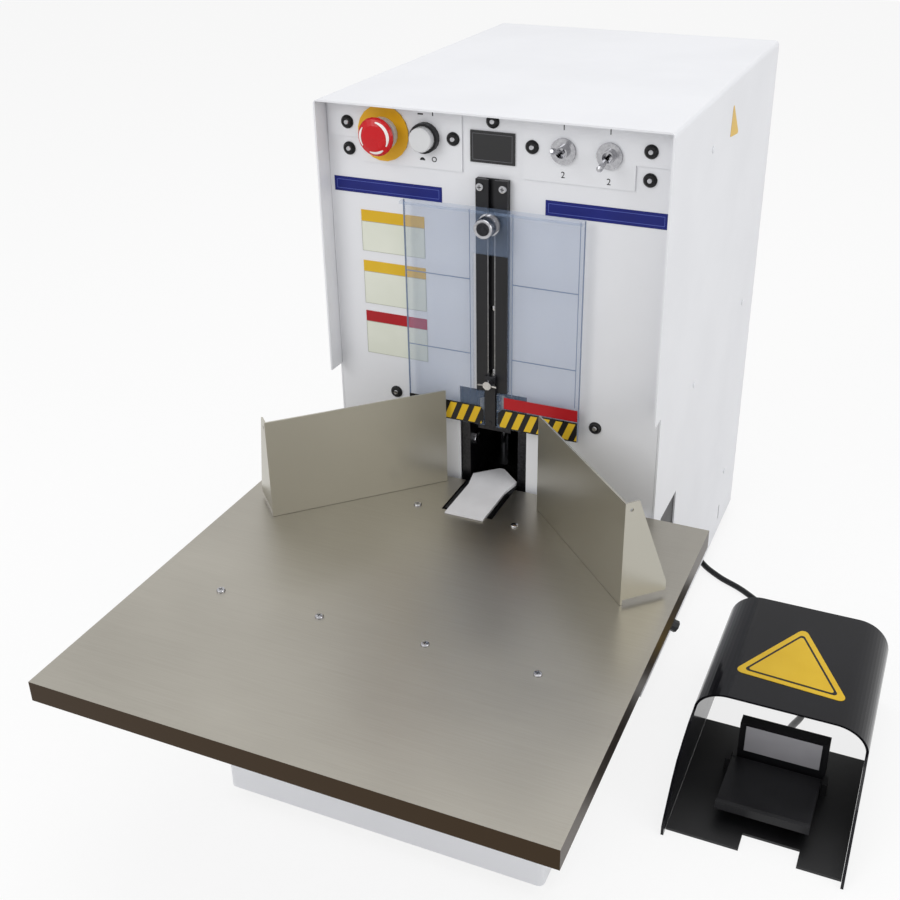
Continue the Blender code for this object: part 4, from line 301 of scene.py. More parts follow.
def seen_ray(tree):
    """One for a ray that shows the background: from the camera, off a metal, or through a clear sheet."""
    path = add(tree, "LightPath")
    first = add(tree, "Math", {"operation": "MAXIMUM"}, {0: path.outputs["Is Camera Ray"],
                                                         1: path.outputs["Is Glossy Ray"]})
    both = add(tree, "Math", {"operation": "MAXIMUM"}, {0: first.outputs["Value"],
                                                        1: path.outputs["Is Transmission Ray"]})
    return both.outputs["Value"]


floor_material, tree, shader, places = start_material("paper_floor")
shader.inputs["Base Color"].default_value = colour("#F6F6F6")
shader.inputs["Roughness"].default_value = 0.9
bright = add(tree, "Emission", sockets={"Color": colour("#FFFFFF"), "Strength": 1.0})
seen = add(tree, "Math", {"operation": "MULTIPLY"}, {0: seen_ray(tree), 1: FLOOR_WHITE_SHARE})
blend = add(tree, "MixShader", sockets={"Fac": seen.outputs["Value"], 1: shader.outputs["BSDF"],
                                        2: bright.outputs["Emission"]})
tree.links.new(blend.outputs["Shader"], tree.nodes["Material Output"].inputs["Surface"])
floor_mesh = bpy.data.meshes.new("floor")
corners = [(-1, -1), (1, -1), (1, 1), (-1, 1)]
floor_mesh.from_pydata([(x * FLOOR_HALF, y * FLOOR_HALF, FLOOR_Z) for x, y in corners], [], [(0, 1, 2, 3)])
floor_mesh.materials.append(floor_material)
floor = bpy.data.objects.new("floor", floor_mesh)
bpy.context.scene.collection.objects.link(floor)

room = bpy.data.worlds.new("white_room")
room.use_nodes = True
bpy.context.scene.world = room
tree = room.node_tree
level = add(tree, "MapRange", sockets={"Value": seen_ray(tree), "To Min": ROOM_LIGHT, "To Max": ROOM_SEEN})
tree.links.new(level.outputs["Result"], tree.nodes["Background"].inputs["Strength"])
tree.nodes["Background"].inputs["Color"].default_value = colour("#FFFFFF")

for name, place, aim, size, power in LAMPS:
    lamp_data = bpy.data.lights.new(name, "AREA")
    lamp_data.size = size
    lamp_data.energy = power
    lamp = bpy.data.objects.new(name, lamp_data)
    bpy.context.scene.collection.objects.link(lamp)
    lamp.location = place
    lamp.rotation_euler = (Vector(aim) - Vector(place)).to_track_quat("-Z", "Y").to_euler()


# The casing: folded steel sheets in white powder coat, screwed together. The coat has the fine orange
# peel of baked powder, a half-dull shine, and a trace of grey where hands and paper dust rub it.
def dress(look, *nodes):
    """Gives CAD nodes their material."""
    for name in nodes:
        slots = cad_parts[name].data.materials
        slots.clear()
        slots.append(look)


def powder_coat(name, code, dusty, peel_mm=1.6):
    """Baked powder: an orange-peel relief and a half-dull shine, a little dusty in large soft patches."""
    made, tree, shader, places = start_material(name)
    dust = clouds(tree, places, 120, 4.0)
    tree.links.new(ramp(tree, dust, (0.35, dusty), (0.6, code)), shader.inputs["Base Color"])
    worn_gloss(tree, shader, dust, (0.0, 1.0), (0.5, 0.38))
    peel = add(tree, "TexVoronoi", {"feature": "SMOOTH_F1"}, {"Vector": places, "Scale": 1000 / peel_mm})
    bumps(tree, shader, peel.outputs["Distance"], 0.00003)
    shader.inputs["IOR"].default_value = 1.5
    return made


white_coat = powder_coat("white_powder_coat", "#E6E7EB", "#E3E4E8")
black_coat = powder_coat("black_powder_coat", "#101012", "#18181A")
dress(white_coat, "cover", "front_panel", "rear_panel", "lower_housing", "switch_plate_left",
      "switch_plate_right")
dress(black_coat, "pedal_base", "gear_motor", "nameplate")


# The table and the two fences: stainless sheet with a fine brushed grain. Its sheen is a warm grey, and the
# grain spreads the room's light across it in long soft streaks. On the table, the folded rims and other faces
# that don't look up get a darker, browner colour: a painted reflection, as the steel there is the same sheet.
GRAIN_MM, PATCH_MM = 0.9, 160
GRAIN_SHARE = 0.35


def brushed_stainless(name, light, dark, edge, stretch, rough):
    """Brushed sheet: long streaks, drawn wider than real so that they show, over broad, faint patches; faces
    that don't look up take the edge colour instead, which on the table is a darker painted reflection.
    """
    made, tree, shader, places = start_material(name)
    drawn = add(tree, "Mapping", sockets={"Vector": places, "Scale": stretch}).outputs["Vector"]
    streak = clouds(tree, drawn, GRAIN_MM, 2.0)
    patch = clouds(tree, places, PATCH_MM, 2.0)
    part = add(tree, "Math", {"operation": "MULTIPLY"}, {0: streak, 1: GRAIN_SHARE})
    total = add(tree, "Math", {"operation": "MULTIPLY_ADD"},
                {0: patch, 1: 1 - GRAIN_SHARE, 2: part.outputs["Value"]})
    sheet = ramp(tree, total.outputs["Value"], (0.3, dark), (0.7, light))
    # Painted reflection: faces that turn from upward towards the side take the edge colour in place of the
    # sheet's.
    upward = add(tree, "SeparateXYZ", sockets={"Vector": add(tree, "NewGeometry").outputs["Normal"]})
    flat = add(tree, "MapRange", sockets={"Value": upward.outputs["Z"], "From Min": 0.5, "From Max": 0.9})
    shown = add(tree, "Mix", {"data_type": "RGBA"}, {"Factor": flat.outputs["Result"]})
    rim_colour, sheet_colour = [socket for socket in shown.inputs if socket.type == "RGBA"]
    rim_colour.default_value = colour(edge)
    tree.links.new(sheet, sheet_colour)
    result = next(socket for socket in shown.outputs if socket.type == "RGBA")
    tree.links.new(result, shader.inputs["Base Color"])
    worn_gloss(tree, shader, total.outputs["Value"], (0.35, 0.65), rough)
    bumps(tree, shader, streak, 0.000004)
    shader.inputs["Metallic"].default_value = 1.0
    return made


# The table's dark brown edge colour is painted reflection on its rims.
table_steel = brushed_stainless("brushed_stainless_table", "#ADA9A0", "#A09C93", "#3F3224",
                                (0.02, 1.0, 1.0), (0.32, 0.4))
fence_steel = brushed_stainless("brushed_stainless_fence", "#C2BFB5", "#B2AFA5", "#BAB7AC",
                                (1.0, 1.0, 0.05), (0.3, 0.38))
dress(table_steel, "table")
dress(fence_steel, "fence_left", "fence_right", "chip_chute")


# The cutting head and the guard's metal: the blade, rack and shafts are ground and oiled, the head and the
# bed are blued, the rail is black anodised, and screws, toggles and springs are nickel plated.
def worked_steel(name, light, dark, rough, line_mm):
    """Steel with fine tool marks: small uneven bands, tighter and brighter on plated parts."""
    made, tree, shader, places = start_material(name)
    marks = clouds(tree, places, line_mm, 3.0)
    tree.links.new(ramp(tree, marks, (0.3, dark), (0.7, light)), shader.inputs["Base Color"])
    worn_gloss(tree, shader, marks, (0.0, 1.0), rough)
    bumps(tree, shader, marks, 0.00001)
    shader.inputs["Metallic"].default_value = 1.0
    return made


ground_steel = worked_steel("ground_steel", "#9C9B97", "#83827E", (0.3, 0.42), 2.0)
plated_steel = worked_steel("nickel_plated_steel", "#B9B9BC", "#A3A3A7", (0.1, 0.2), 3.0)
blued_steel = worked_steel("blued_steel", "#3B3B3E", "#2A2A2D", (0.3, 0.45), 2.5)
black_anodised = moulded_plastic("black_anodised", "#17171A", "#242428", 1.0, 0.00001, (0.3, 0.4))
dress(ground_steel, "blade", "drive_rack", "pinion_shaft", "shaft_bearing_left", "shaft_bearing_right",
      "shield_slider", "stop_slider", "base_plate")
dress(plated_steel, "toggle_auto_body", "toggle_auto_lever", "toggle_start_body", "toggle_start_lever",
      "wing_screw", "guide_rod_left", "guide_rod_right", "clamp_spring", "shield_knob")
dress(blued_steel, "bed_block", "head_frame", "ram", "blade_holder", "clamp_foot")
dress(black_anodised, "guard_rail", "stop_bar")


# The plastic parts: grained ABS on the grips and boxes, smooth glossy ABS on the foot switch's hood, nylon
# for the cutting pad, and vulcanised rubber for the feet. The gloss ones show the room, the rest are dull.
black_abs = moulded_plastic("black_abs", "#161618", "#222225", 0.8, 0.00004)
gloss_abs = moulded_plastic("gloss_black_abs", "#101014", "#141419", 6.0, 0.00001, (0.12, 0.2), 0.15, 0.12)
grey_abs = moulded_plastic("grey_abs", "#6E7074", "#7C7E82", 0.8, 0.00004)
white_nylon = moulded_plastic("white_nylon", "#DADADD", "#EDEDF0", 1.5, 0.00004, (0.45, 0.6))
ivory_cap = moulded_plastic("pale_cap_plastic", "#C9CACC", "#D9DADC", 1.0, 0.00002, (0.3, 0.4))
red_abs = moulded_plastic("red_abs", "#BE0E18", "#CA161E", 1.4, 0.00001, (0.18, 0.3), 0.25)
yellow_abs = moulded_plastic("yellow_plate", "#E0A81C", "#E8B429", 1.4, 0.00001, (0.35, 0.45))
foot_rubber = moulded_plastic("vulcanised_rubber", "#18181A", "#242424", 0.6, 0.00005, (0.65, 0.8))
# The chip drawer's black is partly its own and partly painted shade: it stands for the shade in the right
# wall's cut-out.
dress(black_abs, "clamp_lever", "power_inlet", "pedal_socket", "power_button_body", "estop_stem",
      "chip_drawer", "pedal_treadle", "pedal_switch_box")
dress(gloss_abs, "pedal_hood")
dress(grey_abs, "control_box")
dress(white_nylon, "cutting_pad")
dress(ivory_cap, "power_button_cap", "estop_body")
dress(red_abs, "estop_head")
dress(yellow_abs, "estop_ring")
dress(foot_rubber, "rubber_foot_front_left", "rubber_foot_front_right", "rubber_foot_back_left",
      "rubber_foot_back_right")


# The shield: a bent sheet of clear polycarbonate that keeps fingers from the blade. It is faintly blue,
# mirrors the room at a slant, and has fine rub marks from cleaning.
clear_sheet, tree, shader, places = start_material("clear_polycarbonate")
rubbed = clouds(tree, places, 50, 6.0)
worn_gloss(tree, shader, rubbed, (0.0, 1.0), (0.03, 0.12))
tree.links.new(ramp(tree, rubbed, (0.3, "#8FA6CB"), (0.7, "#9AB0D2")), shader.inputs["Base Color"])
shader.inputs["Alpha"].default_value = 0.15
shader.inputs["IOR"].default_value = 1.58
dress(clear_sheet, "shield")


# The panel's fasteners: pan-head screws, each in a black nylon cup washer, whose plated middle shows. The
# solids have plain heads there, and each cup and middle covers one of them.
PANEL_FACE = 0.0232
PLATE_FACE = 0.0214
PLATE_SCREW_PLACES = ((0.1627, 0.651), (0.0425, 0.644))
PANEL_SCREW_PLACES = ((0.1627, 0.623), (0.1188, 0.347))
TOP_SCREW_Z = 0.665
CUP_PROFILE = [(0.0070, -0.0001), (0.0070, -0.0010), (0.0062, -0.0022), (0.0050, -0.0034), (0.0034, -0.0036),
               (0.0029, -0.0032), (0.0029, -0.0020)]
MIDDLE_PROFILE = [(0.0029, -0.0030), (0.0022, -0.0037), (0.0, -0.0038)]
seats = [at(side * x, PLATE_FACE, z) for x, z in PLATE_SCREW_PLACES for side in (-1, 1)]
seats += [at(side * x, PANEL_FACE, z) for x, z in PANEL_SCREW_PLACES for side in (-1, 1)]
seats.append(at(0, PANEL_FACE, TOP_SCREW_Z))


def cup_washers(shape):
    """The black cups, whose rounded rims stand round the screw heads."""
    for seat in seats:
        lathe(shape, CUP_PROFILE, seat)


def screw_centres(shape):
    """The plated heads in the cup washers."""
    for seat in seats:
        lathe(shape, MIDDLE_PROFILE, seat, sides=16)


nylon_cup = moulded_plastic("black_nylon", "#0E0E10", "#161618", 1.0, 0.00002, (0.35, 0.5))
piece_from("panel_cup_washers", cup_washers, nylon_cup)
piece_from("panel_screw_centres", screw_centres, plated_steel)


# The table's and the rail's screws: plated pan heads, where a dark cross is the painted shade of a drive
# recess.
# Two more hold the rail from inside its groove, and a hexagon bolt shows in the throat's left wall.
TABLE_TOP = 0.254
RAIL_FACE = 0.0152
GROOVE_FACE = 0.0223
GUARD_X = 0.0015
TABLE_SCREW_PLACES = ((0.167, -0.2775), (0.05585, -0.2775), (0.0576, -0.056))
RAIL_SCREW_X, RAIL_SCREW_Z = 0.0125, 0.600
GROOVE_SCREW_HEIGHTS = (0.394, 0.468)
HEAD_RADIUS, HEAD_HEIGHT = 0.0044, 0.0023
GROOVE_HEAD_RADIUS, GROOVE_HEAD_HEIGHT = 0.0032, 0.0013
RECESS_LONG, RECESS_WIDE = 0.0046, 0.0009
RECESS_SINK, RECESS_TOP = 0.0021, 0.0024
BOLT_PLACE = (-0.029, 0.040, 0.298)
BOLT_PROFILE = [(0.0074, 0.0001), (0.0074, 0.0034), (0.0062, 0.0040), (0.0, 0.0040)]
SLOT_EDGE_X = 0.0039
SLOT_EDGE_HALF = 0.0005
SLOT_EDGE_HEIGHTS = (0.384, 0.576)
table_screws = [(side * x, y) for x, y in TABLE_SCREW_PLACES for side in (-1, 1)]
rail_screws = [GUARD_X + side * RAIL_SCREW_X for side in (-1, 1)]


def slab(shape, low, high):
    """A flat block between two corners, with its edges eased."""
    made = bmesh.ops.create_cube(shape, size=1.0)["verts"]
    middle = (low + high) / 2
    for vert in made:
        vert.co = middle + Vector(a * b for a, b in zip(vert.co, high - low))
    edges = list({edge for vert in made for edge in vert.link_edges})
    bmesh.ops.bevel(shape, geom=edges, offset=min(high - low) * 0.25, segments=1, affect="EDGES")


def pan_head(shape, seat, way, along, radius=HEAD_RADIUS, height=HEAD_HEIGHT):
    """A pan head that stands on its seat, with a rounded shoulder."""
    profile = [(radius, way * 0.00005), (radius, way * height * 0.45), (radius * 0.86, way * height * 0.85),
               (radius * 0.5, way * height), (0.0, way * height)]
    lathe(shape, profile, seat, along, 20)


def table_heads(shape):
    """The six heads on the table."""
    for x, y in table_screws:
        pan_head(shape, at(x, y, TABLE_TOP), 1, "Z")


def rail_heads(shape):
    """The two heads at the rail's top and the two sunk in its groove."""
    for x in rail_screws:
        pan_head(shape, at(x, RAIL_FACE, RAIL_SCREW_Z), -1, "Y")
    for z in GROOVE_SCREW_HEIGHTS:
        pan_head(shape, at(GUARD_X, GROOVE_FACE, z), -1, "Y", GROOVE_HEAD_RADIUS, GROOVE_HEAD_HEIGHT)


def recess_crosses(shape):
    """The dark crosses that paint the drive recesses' shade, on the table's and the rail's heads."""
    arms = ((RECESS_LONG / 2, RECESS_WIDE / 2), (RECESS_WIDE / 2, RECESS_LONG / 2))
    for x, y in table_screws:
        for wide, deep in arms:
            slab(shape, at(x - wide, y - deep, TABLE_TOP + RECESS_SINK),
                 at(x + wide, y + deep, TABLE_TOP + RECESS_TOP))
    for x in rail_screws:
        for wide, tall in arms:
            slab(shape, at(x - wide, RAIL_FACE - RECESS_TOP, RAIL_SCREW_Z - tall),
                 at(x + wide, RAIL_FACE - RECESS_SINK, RAIL_SCREW_Z + tall))


def slot_edges(shape):
    """Bright metal strips along the rail's slot lips: a painted highlight where the lips catch the light."""
    low, high = SLOT_EDGE_HEIGHTS
    for side in (-1, 1):
        middle = GUARD_X + side * SLOT_EDGE_X
        slab(shape, at(middle - SLOT_EDGE_HALF, RAIL_FACE - 0.00005, low),
             at(middle + SLOT_EDGE_HALF, RAIL_FACE + 0.0003, high))


# Painted highlight: the slot's lips are drawn as bright strips of steel on the black rail.
slot_highlight_steel = worked_steel("painted_slot_highlight", "#9A9A9C", "#77777A", (0.25, 0.4), 2.0)
# Painted shade: the drive recesses are not cut, and a dark cross stands for the shade in each.
recess_shade_look = moulded_plastic("painted_recess_shade", "#1B1B1C", "#262627", 1.0, 0.00001)
piece_from("rail_slot_edges", slot_edges, slot_highlight_steel)
piece_from("table_screw_heads", table_heads, plated_steel)
piece_from("rail_screw_heads", rail_heads, plated_steel)
piece_from("screw_recesses", recess_crosses, recess_shade_look)
piece_from("throat_bolt_head", lambda shape: lathe(shape, BOLT_PROFILE, at(*BOLT_PLACE), "X", 6), plated_steel)


# The labels: anodised and printed plates glued to the panel. The blue ones have a thin pale line inside
# their edge, and the small pale ones have a coloured head. All of them are left bare.
PLATE_ENDS = (0.057, 0.183)
PLATE_HEIGHTS = (0.576, 0.592)
PLATE_LINE_INSET = 0.003
NAMEPLATE_LINE = (-0.0215, 0.0215, 0.6255, 0.6525)
LINE_WIDTH = 0.0006
LABEL_LEFT, LABEL_RIGHT = -0.153, -0.078
LABEL_HEIGHTS = ((0.512, 0.558), (0.451, 0.501), (0.391, 0.442))
LABEL_HEAD_HEIGHT = 0.0125
BORDER_WIDTH = 0.0005


def printed_plate(name, code, worn):
    """A screen-printed plate: flat ink with a faint mottle and a satin clear coat."""
    return moulded_plastic(name, code, worn, 3.0, 0.00001, (0.3, 0.42))


def frame_lines(shape, left, right, low, high, width, front, back):
    """A thin rectangular line, as four bars."""
    slab(shape, at(left, front, low), at(right, back, low + width))
    slab(shape, at(left, front, high - width), at(right, back, high))
    slab(shape, at(left, front, low + width), at(left + width, back, high - width))
    slab(shape, at(right - width, front, low + width), at(right, back, high - width))


blue_ink = printed_plate("blue_anodised_plate", "#0C1768", "#111E78")
pale_blue_ink = printed_plate("pale_blue_line", "#4A57A8", "#5562B0")
grey_ink = printed_plate("grey_line", "#5C5C60", "#6A6A6E")
cream_ink = printed_plate("cream_print", "#DBDED0", "#E4E6DA")
yellow_ink = printed_plate("yellow_print", "#D6AA1C", "#DEB62C")
red_ink = printed_plate("red_print", "#A5121B", "#B41C24")
border_ink = printed_plate("label_border", "#A9AA9C", "#B4B5A8")
low, high = PLATE_HEIGHTS
for side, name in ((-1, "left"), (1, "right")):
    left, right = sorted(side * end for end in PLATE_ENDS)
    piece_from(f"blue_plate_{name}",
               lambda shape: slab(shape, at(left, PANEL_FACE - 0.0005, low), at(right, PANEL_FACE, high)),
               blue_ink)
    piece_from(f"blue_plate_line_{name}",
               lambda shape: frame_lines(shape, left + PLATE_LINE_INSET, right - PLATE_LINE_INSET,
                                         low + PLATE_LINE_INSET, high - PLATE_LINE_INSET, LINE_WIDTH,
                                         PANEL_FACE - 0.0007, PANEL_FACE - 0.0004),
               pale_blue_ink)
piece_from("nameplate_line",
           lambda shape: frame_lines(shape, *NAMEPLATE_LINE, LINE_WIDTH, PLATE_FACE - 0.0002,
                                     PLATE_FACE + 0.0001),
           grey_ink)
label_heads = ((yellow_ink, "yellow_plastic"), (yellow_ink, "yellow_plastic"), (red_ink, "red_plastic"))
for order, ((low, high), (ink, slot)) in enumerate(zip(LABEL_HEIGHTS, label_heads), 1):
    head = high - LABEL_HEAD_HEIGHT
    piece_from(f"panel_label_{order}",
               lambda shape: slab(shape, at(LABEL_LEFT, PANEL_FACE - 0.0004, low),
                                  at(LABEL_RIGHT, PANEL_FACE, head)),
               cream_ink)
    piece_from(f"panel_label_head_{order}",
               lambda shape: slab(shape, at(LABEL_LEFT, PANEL_FACE - 0.0005, head),
                                  at(LABEL_RIGHT, PANEL_FACE, high)),
               ink)
    piece_from(f"panel_label_line_{order}",
               lambda shape: frame_lines(shape, LABEL_LEFT, LABEL_RIGHT, low, head, BORDER_WIDTH,
                                         PANEL_FACE - 0.0006, PANEL_FACE - 0.0003),
               border_ink)


# The marks round the controls: black ink on the plates. A dash and a bar stand over the power button, a
# dome and a ring under it, and each toggle has a plain number at each of its two ends.
INK_FRONT, INK_BACK = 0.0212, 0.0216
DASH = ((-0.0815, 0.6652), (-0.0755, 0.6668))
BAR = ((-0.0654, 0.6650), (-0.0642, 0.6710))
DOME = (-0.0773, 0.6190, 0.0030, 0.0004, 0.0, pi, 10)
RING = (-0.0640, 0.6210, 0.0028, 0.0019)
NUMBERS = ((0.075, 0.6635, "1"), (0.075, 0.6165, "2"), (0.122, 0.6635, "1"), (0.122, 0.6145, "2"))
NUMBER_HEIGHT = 0.009
INK_THICKNESS = 0.0001


def disc(shape, x, z, outer, inner, start=0.0, end=tau, steps=20):
    """A flat ring or sector in the plane of the plates."""
    section = ((inner, INK_FRONT), (outer, INK_FRONT), (outer, INK_BACK), (inner, INK_BACK))
    rows = []
    closed = end - start > tau - 0.01
    for step in range(steps if closed else steps + 1):
        angle = start + (end - start) * step / steps
        rows.append([shape.verts.new(at(x + radius * cos(angle), y, z + radius * sin(angle)))
                     for radius, y in section])
    for first, second in zip(rows, rows[1:] + (rows[:1] if closed else [])):
        for side in range(4):
            shape.faces.new((first[side], first[(side + 1) % 4], second[(side + 1) % 4], second[side]))
    if not closed:
        shape.faces.new(rows[0])
        shape.faces.new(rows[-1])


def button_marks(shape):
    """The four marks of the power button."""
    for (left, low), (right, high) in (DASH, BAR):
        slab(shape, at(left, INK_FRONT, low), at(right, INK_BACK, high))
    disc(shape, *DOME)
    disc(shape, *RING)


black_ink = printed_plate("black_print", "#1A1A1C", "#232325")
piece_from("button_marks", button_marks, black_ink, smooth=False)
for place, (x, z, number) in enumerate(NUMBERS, 1):
    figure_curve = bpy.data.curves.new(f"toggle_number_{place}", "FONT")
    figure_curve.body = number
    figure_curve.size = NUMBER_HEIGHT
    figure_curve.extrude = INK_THICKNESS
    figure_curve.align_x = "CENTER"
    figure_curve.materials.append(black_ink)
    figure = bpy.data.objects.new(f"toggle_number_{place}", figure_curve)
    bpy.context.scene.collection.objects.link(figure)
    upright = Matrix.Rotation(pi / 2, 4, "X")
    figure.matrix_world = Matrix.Translation(at(x, PLATE_FACE - INK_THICKNESS, z)) @ upright
    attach(figure, "machine")


# The emergency stop's arcs: white plastic moulded into the red head's slope, which show the way that it
# turns to let go. Each arc thickens along its length and stands a little proud.
HEAD_X, HEAD_Z = -0.121, 0.643
ARC_RADIUS = 0.0157
ARC_HALF = 0.0013
ARC_STEPS = 12
ARC_LIFT, ARC_EDGE_LIFT, ARC_ROOT = 0.0009, 0.0006, -0.0004
ARC_SPANS = ((0.05, 0.36), (0.42, 0.58), (0.68, 0.88))
DOME_BACK, DOME_DEPTH = 0.0083, 0.0113
SLOPE_RADIUS, SLOPE_WIDTH = 0.0184, 0.006
SLOPE_START, SLOPE_RISE = 0.66, 0.24


def turn_arcs(shape):
    """Three raised arcs on the head's slope."""
    for start, end in ARC_SPANS:
        rows = []
        for step in range(ARC_STEPS + 1):
            angle = -tau * (start + (end - start) * step / ARC_STEPS) + radians(100)
            wide = ARC_HALF * min(1.0, 0.45 + step / 6, 0.35 + (ARC_STEPS - step) / 5)
            row = []
            for radius, lift in ((ARC_RADIUS - wide, ARC_EDGE_LIFT), (ARC_RADIUS, ARC_LIFT),
                                 (ARC_RADIUS + wide, ARC_EDGE_LIFT), (ARC_RADIUS + wide, ARC_ROOT),
                                 (ARC_RADIUS - wide, ARC_ROOT)):
                share = SLOPE_START + SLOPE_RISE * (SLOPE_RADIUS - radius) / SLOPE_WIDTH
                y = DOME_BACK - DOME_DEPTH * share - lift
                row.append(shape.verts.new(at(HEAD_X + radius * cos(angle), y, HEAD_Z + radius * sin(angle))))
            rows.append(row)
        for first, second in zip(rows, rows[1:]):
            for side in range(5):
                shape.faces.new((first[side], first[(side + 1) % 5], second[(side + 1) % 5], second[side]))
        shape.faces.new(rows[0])
        shape.faces.new(rows[-1])


white_moulding = printed_plate("white_moulded_arc", "#E9E6E4", "#F2EFEC")
piece_from("stop_head_arcs", turn_arcs, white_moulding, "emergency_head")


# The shield's details: fold and score lines in the clear sheet, striped tape along its lower edge on both
# sides of the gap, and a plain red strip over the right-hand tape. All of them slide with the shield.
SHIELD_FACE = 0.0119
SCORE_SPANS = ((-0.095, -0.0215), (0.0265, 0.0985))
SCORE_HEIGHTS = (0.501, 0.4158)
SCORE_HALF = 0.0006
FOLD_PLACES = (-0.0215, 0.0265, 0.0985)
FOLD_LOW, FOLD_HIGH = 0.372, 0.577
FOLD_HALF = 0.0004
EDGE_PLACES = (-0.0970, 0.1024)
EDGE_LOW, EDGE_HIGH = 0.332, 0.578
EDGE_WIDTH, EDGE_DEPTH = 0.0006, 0.0031
TAPES = (("left", -0.0965, -0.0065, 0.0, 0.005), ("right", 0.0105, 0.1020, 0.005, 0.0))
TAPE_HEIGHTS = (0.3315, 0.3545)
BAR_HEIGHTS = (0.3330, 0.3530)
BAR_WIDTH, BAR_LEAN, BAR_PITCH = 0.0078, 0.0080, 0.0145
BAR_LEAD = 0.030
LEAST_BAR = 0.001
STRIP_ENDS = (0.0175, 0.1020)
STRIP_HEIGHTS = (0.3560, 0.3695)
tape_yellow = printed_plate("tape_yellow", "#D9B01E", "#E3BD33")
tape_black = printed_plate("tape_black", "#101012", "#18181A")
score_tint = moulded_plastic("scored_edge", "#76839B", "#8491A8", 2.0, 0.00001, (0.1, 0.2))


def score_lines(shape):
    """The score lines, folds and edges, each a thin bead on the sheet."""
    front, back = SHIELD_FACE - 0.0003, SHIELD_FACE + 0.0002
    for left, right in SCORE_SPANS:
        for z in SCORE_HEIGHTS:
            slab(shape, at(left, front, z - SCORE_HALF), at(right, back, z + SCORE_HALF))
    for x in FOLD_PLACES:
        slab(shape, at(x - FOLD_HALF, front, FOLD_LOW), at(x + FOLD_HALF, back, FOLD_HIGH))
    for x in EDGE_PLACES:
        slab(shape, at(x, SHIELD_FACE - 0.0001, EDGE_LOW),
             at(x + EDGE_WIDTH, SHIELD_FACE + EDGE_DEPTH, EDGE_HIGH))


def tape_outline(left, right, low, high, cut_left, cut_right):
    """The tape's outline, with the corners next to the gap cut off."""
    outline = [(left + cut_left, low), (right - cut_right, low), (right, low + cut_right),
               (right, high - cut_right), (right - cut_right, high), (left + cut_left, high),
               (left, high - cut_left), (left, low + cut_left)]
    return list(dict.fromkeys(outline))


def thin_sheet(shape, near_points, far_points):
    """A thin sheet between two outlines with as many points each."""
    near = [shape.verts.new(point) for point in near_points]
    far = [shape.verts.new(point) for point in far_points]
    shape.faces.new(near)
    shape.faces.new(far[::-1])
    for side in range(len(near)):
        after = (side + 1) % len(near)
        shape.faces.new((near[side], near[after], far[after], far[side]))


def flat_sheet(shape, outline, front, back):
    """A thin sheet from its outline in the shield's plane."""
    thin_sheet(shape, [at(x, front, z) for x, z in outline], [at(x, back, z) for x, z in outline])


def clipped(points, left, right):
    """A convex outline kept between two upright limits."""
    for limit, keep in ((left, 1), (right, -1)):
        kept = []
        for first, second in zip(points, points[1:] + points[:1]):
            a, b = keep * (first[0] - limit), keep * (second[0] - limit)
            if a >= 0:
                kept.append(first)
            if a * b < 0:
                share = a / (a - b)
                kept.append((first[0] + (second[0] - first[0]) * share,
                             first[1] + (second[1] - first[1]) * share))
        points = kept
    return points


def tape_bars(shape, left, right, low, high):
    """The yellow bars, which lean to the right and are cut at the tape's ends."""
    start = left - BAR_LEAD
    while start < right:
        bar = clipped([(start, low), (start + BAR_WIDTH, low), (start + BAR_LEAN + BAR_WIDTH, high),
                       (start + BAR_LEAN, high)], left, right)
        if len(bar) > 2 and max(x for x, z in bar) - min(x for x, z in bar) > LEAST_BAR:
            flat_sheet(shape, bar, SHIELD_FACE - 0.0006, SHIELD_FACE - 0.0003)
        start += BAR_PITCH


piece_from("shield_score_lines", score_lines, score_tint, "shield_carrier")
for name, left, right, cut_left, cut_right in TAPES:
    outline = tape_outline(left, right, *TAPE_HEIGHTS, cut_left, cut_right)
    piece_from(f"striped_tape_{name}",
               lambda shape: flat_sheet(shape, outline, SHIELD_FACE - 0.0004, SHIELD_FACE - 0.00005),
               tape_black, "shield_carrier", smooth=False)
    piece_from(f"tape_bars_{name}",
               lambda shape: tape_bars(shape, left + cut_left / 2, right - cut_right / 2, *BAR_HEIGHTS),
               tape_yellow, "shield_carrier", smooth=False)
piece_from("red_strip",
           lambda shape: slab(shape, at(STRIP_ENDS[0], SHIELD_FACE - 0.0005, STRIP_HEIGHTS[0]),
                              at(STRIP_ENDS[1], SHIELD_FACE - 0.0001, STRIP_HEIGHTS[1])),
           red_ink, "shield_carrier")


# The shield's knob: knurled and plated. Its end has a turned recess, drawn as a flat dark disc whose darkness
# is painted shade. The knurls are fine ridges, and they turn with the knob.
KNURLS = 30
KNURL_FOOT, KNURL_CREST, KNURL_HALF = 0.0099, 0.0105, 0.00055
KNURL_ENDS = (0.0015, 0.0135)
RIM_PROFILE = [(0.0102, 0.0012), (0.0103, 0.0004), (0.0098, -0.0004), (0.0078, -0.0005), (0.0070, 0.0001)]
RECESS_PROFILE = [(0.0069, 0.0003), (0.0069, -0.0002), (0.0030, -0.00015), (0.0, -0.0004)]
knob_low, knob_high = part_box("shield_knob")
knob_middle = Vector(((knob_low.x + knob_high.x) / 2, knob_low.y, (knob_low.z + knob_high.z) / 2))


def knob_knurls(shape):
    """Ridges along the knob's grip, and a rolled rim at its end."""
    for ridge in range(KNURLS):
        angle = tau * ridge / KNURLS
        across = Vector((cos(angle), 0, sin(angle)))
        side = Vector((-sin(angle), 0, cos(angle))) * KNURL_HALF
        foot, crest = knob_middle + across * KNURL_FOOT, knob_middle + across * KNURL_CREST
        near, far = [[point + Vector((0, along, 0)) for point in (foot - side, foot + side, crest)]
                     for along in KNURL_ENDS]
        thin_sheet(shape, near, far)
    lathe(shape, RIM_PROFILE, knob_middle)


piece_from("knob_knurls", knob_knurls, plated_steel, "shield_clamp_knob")
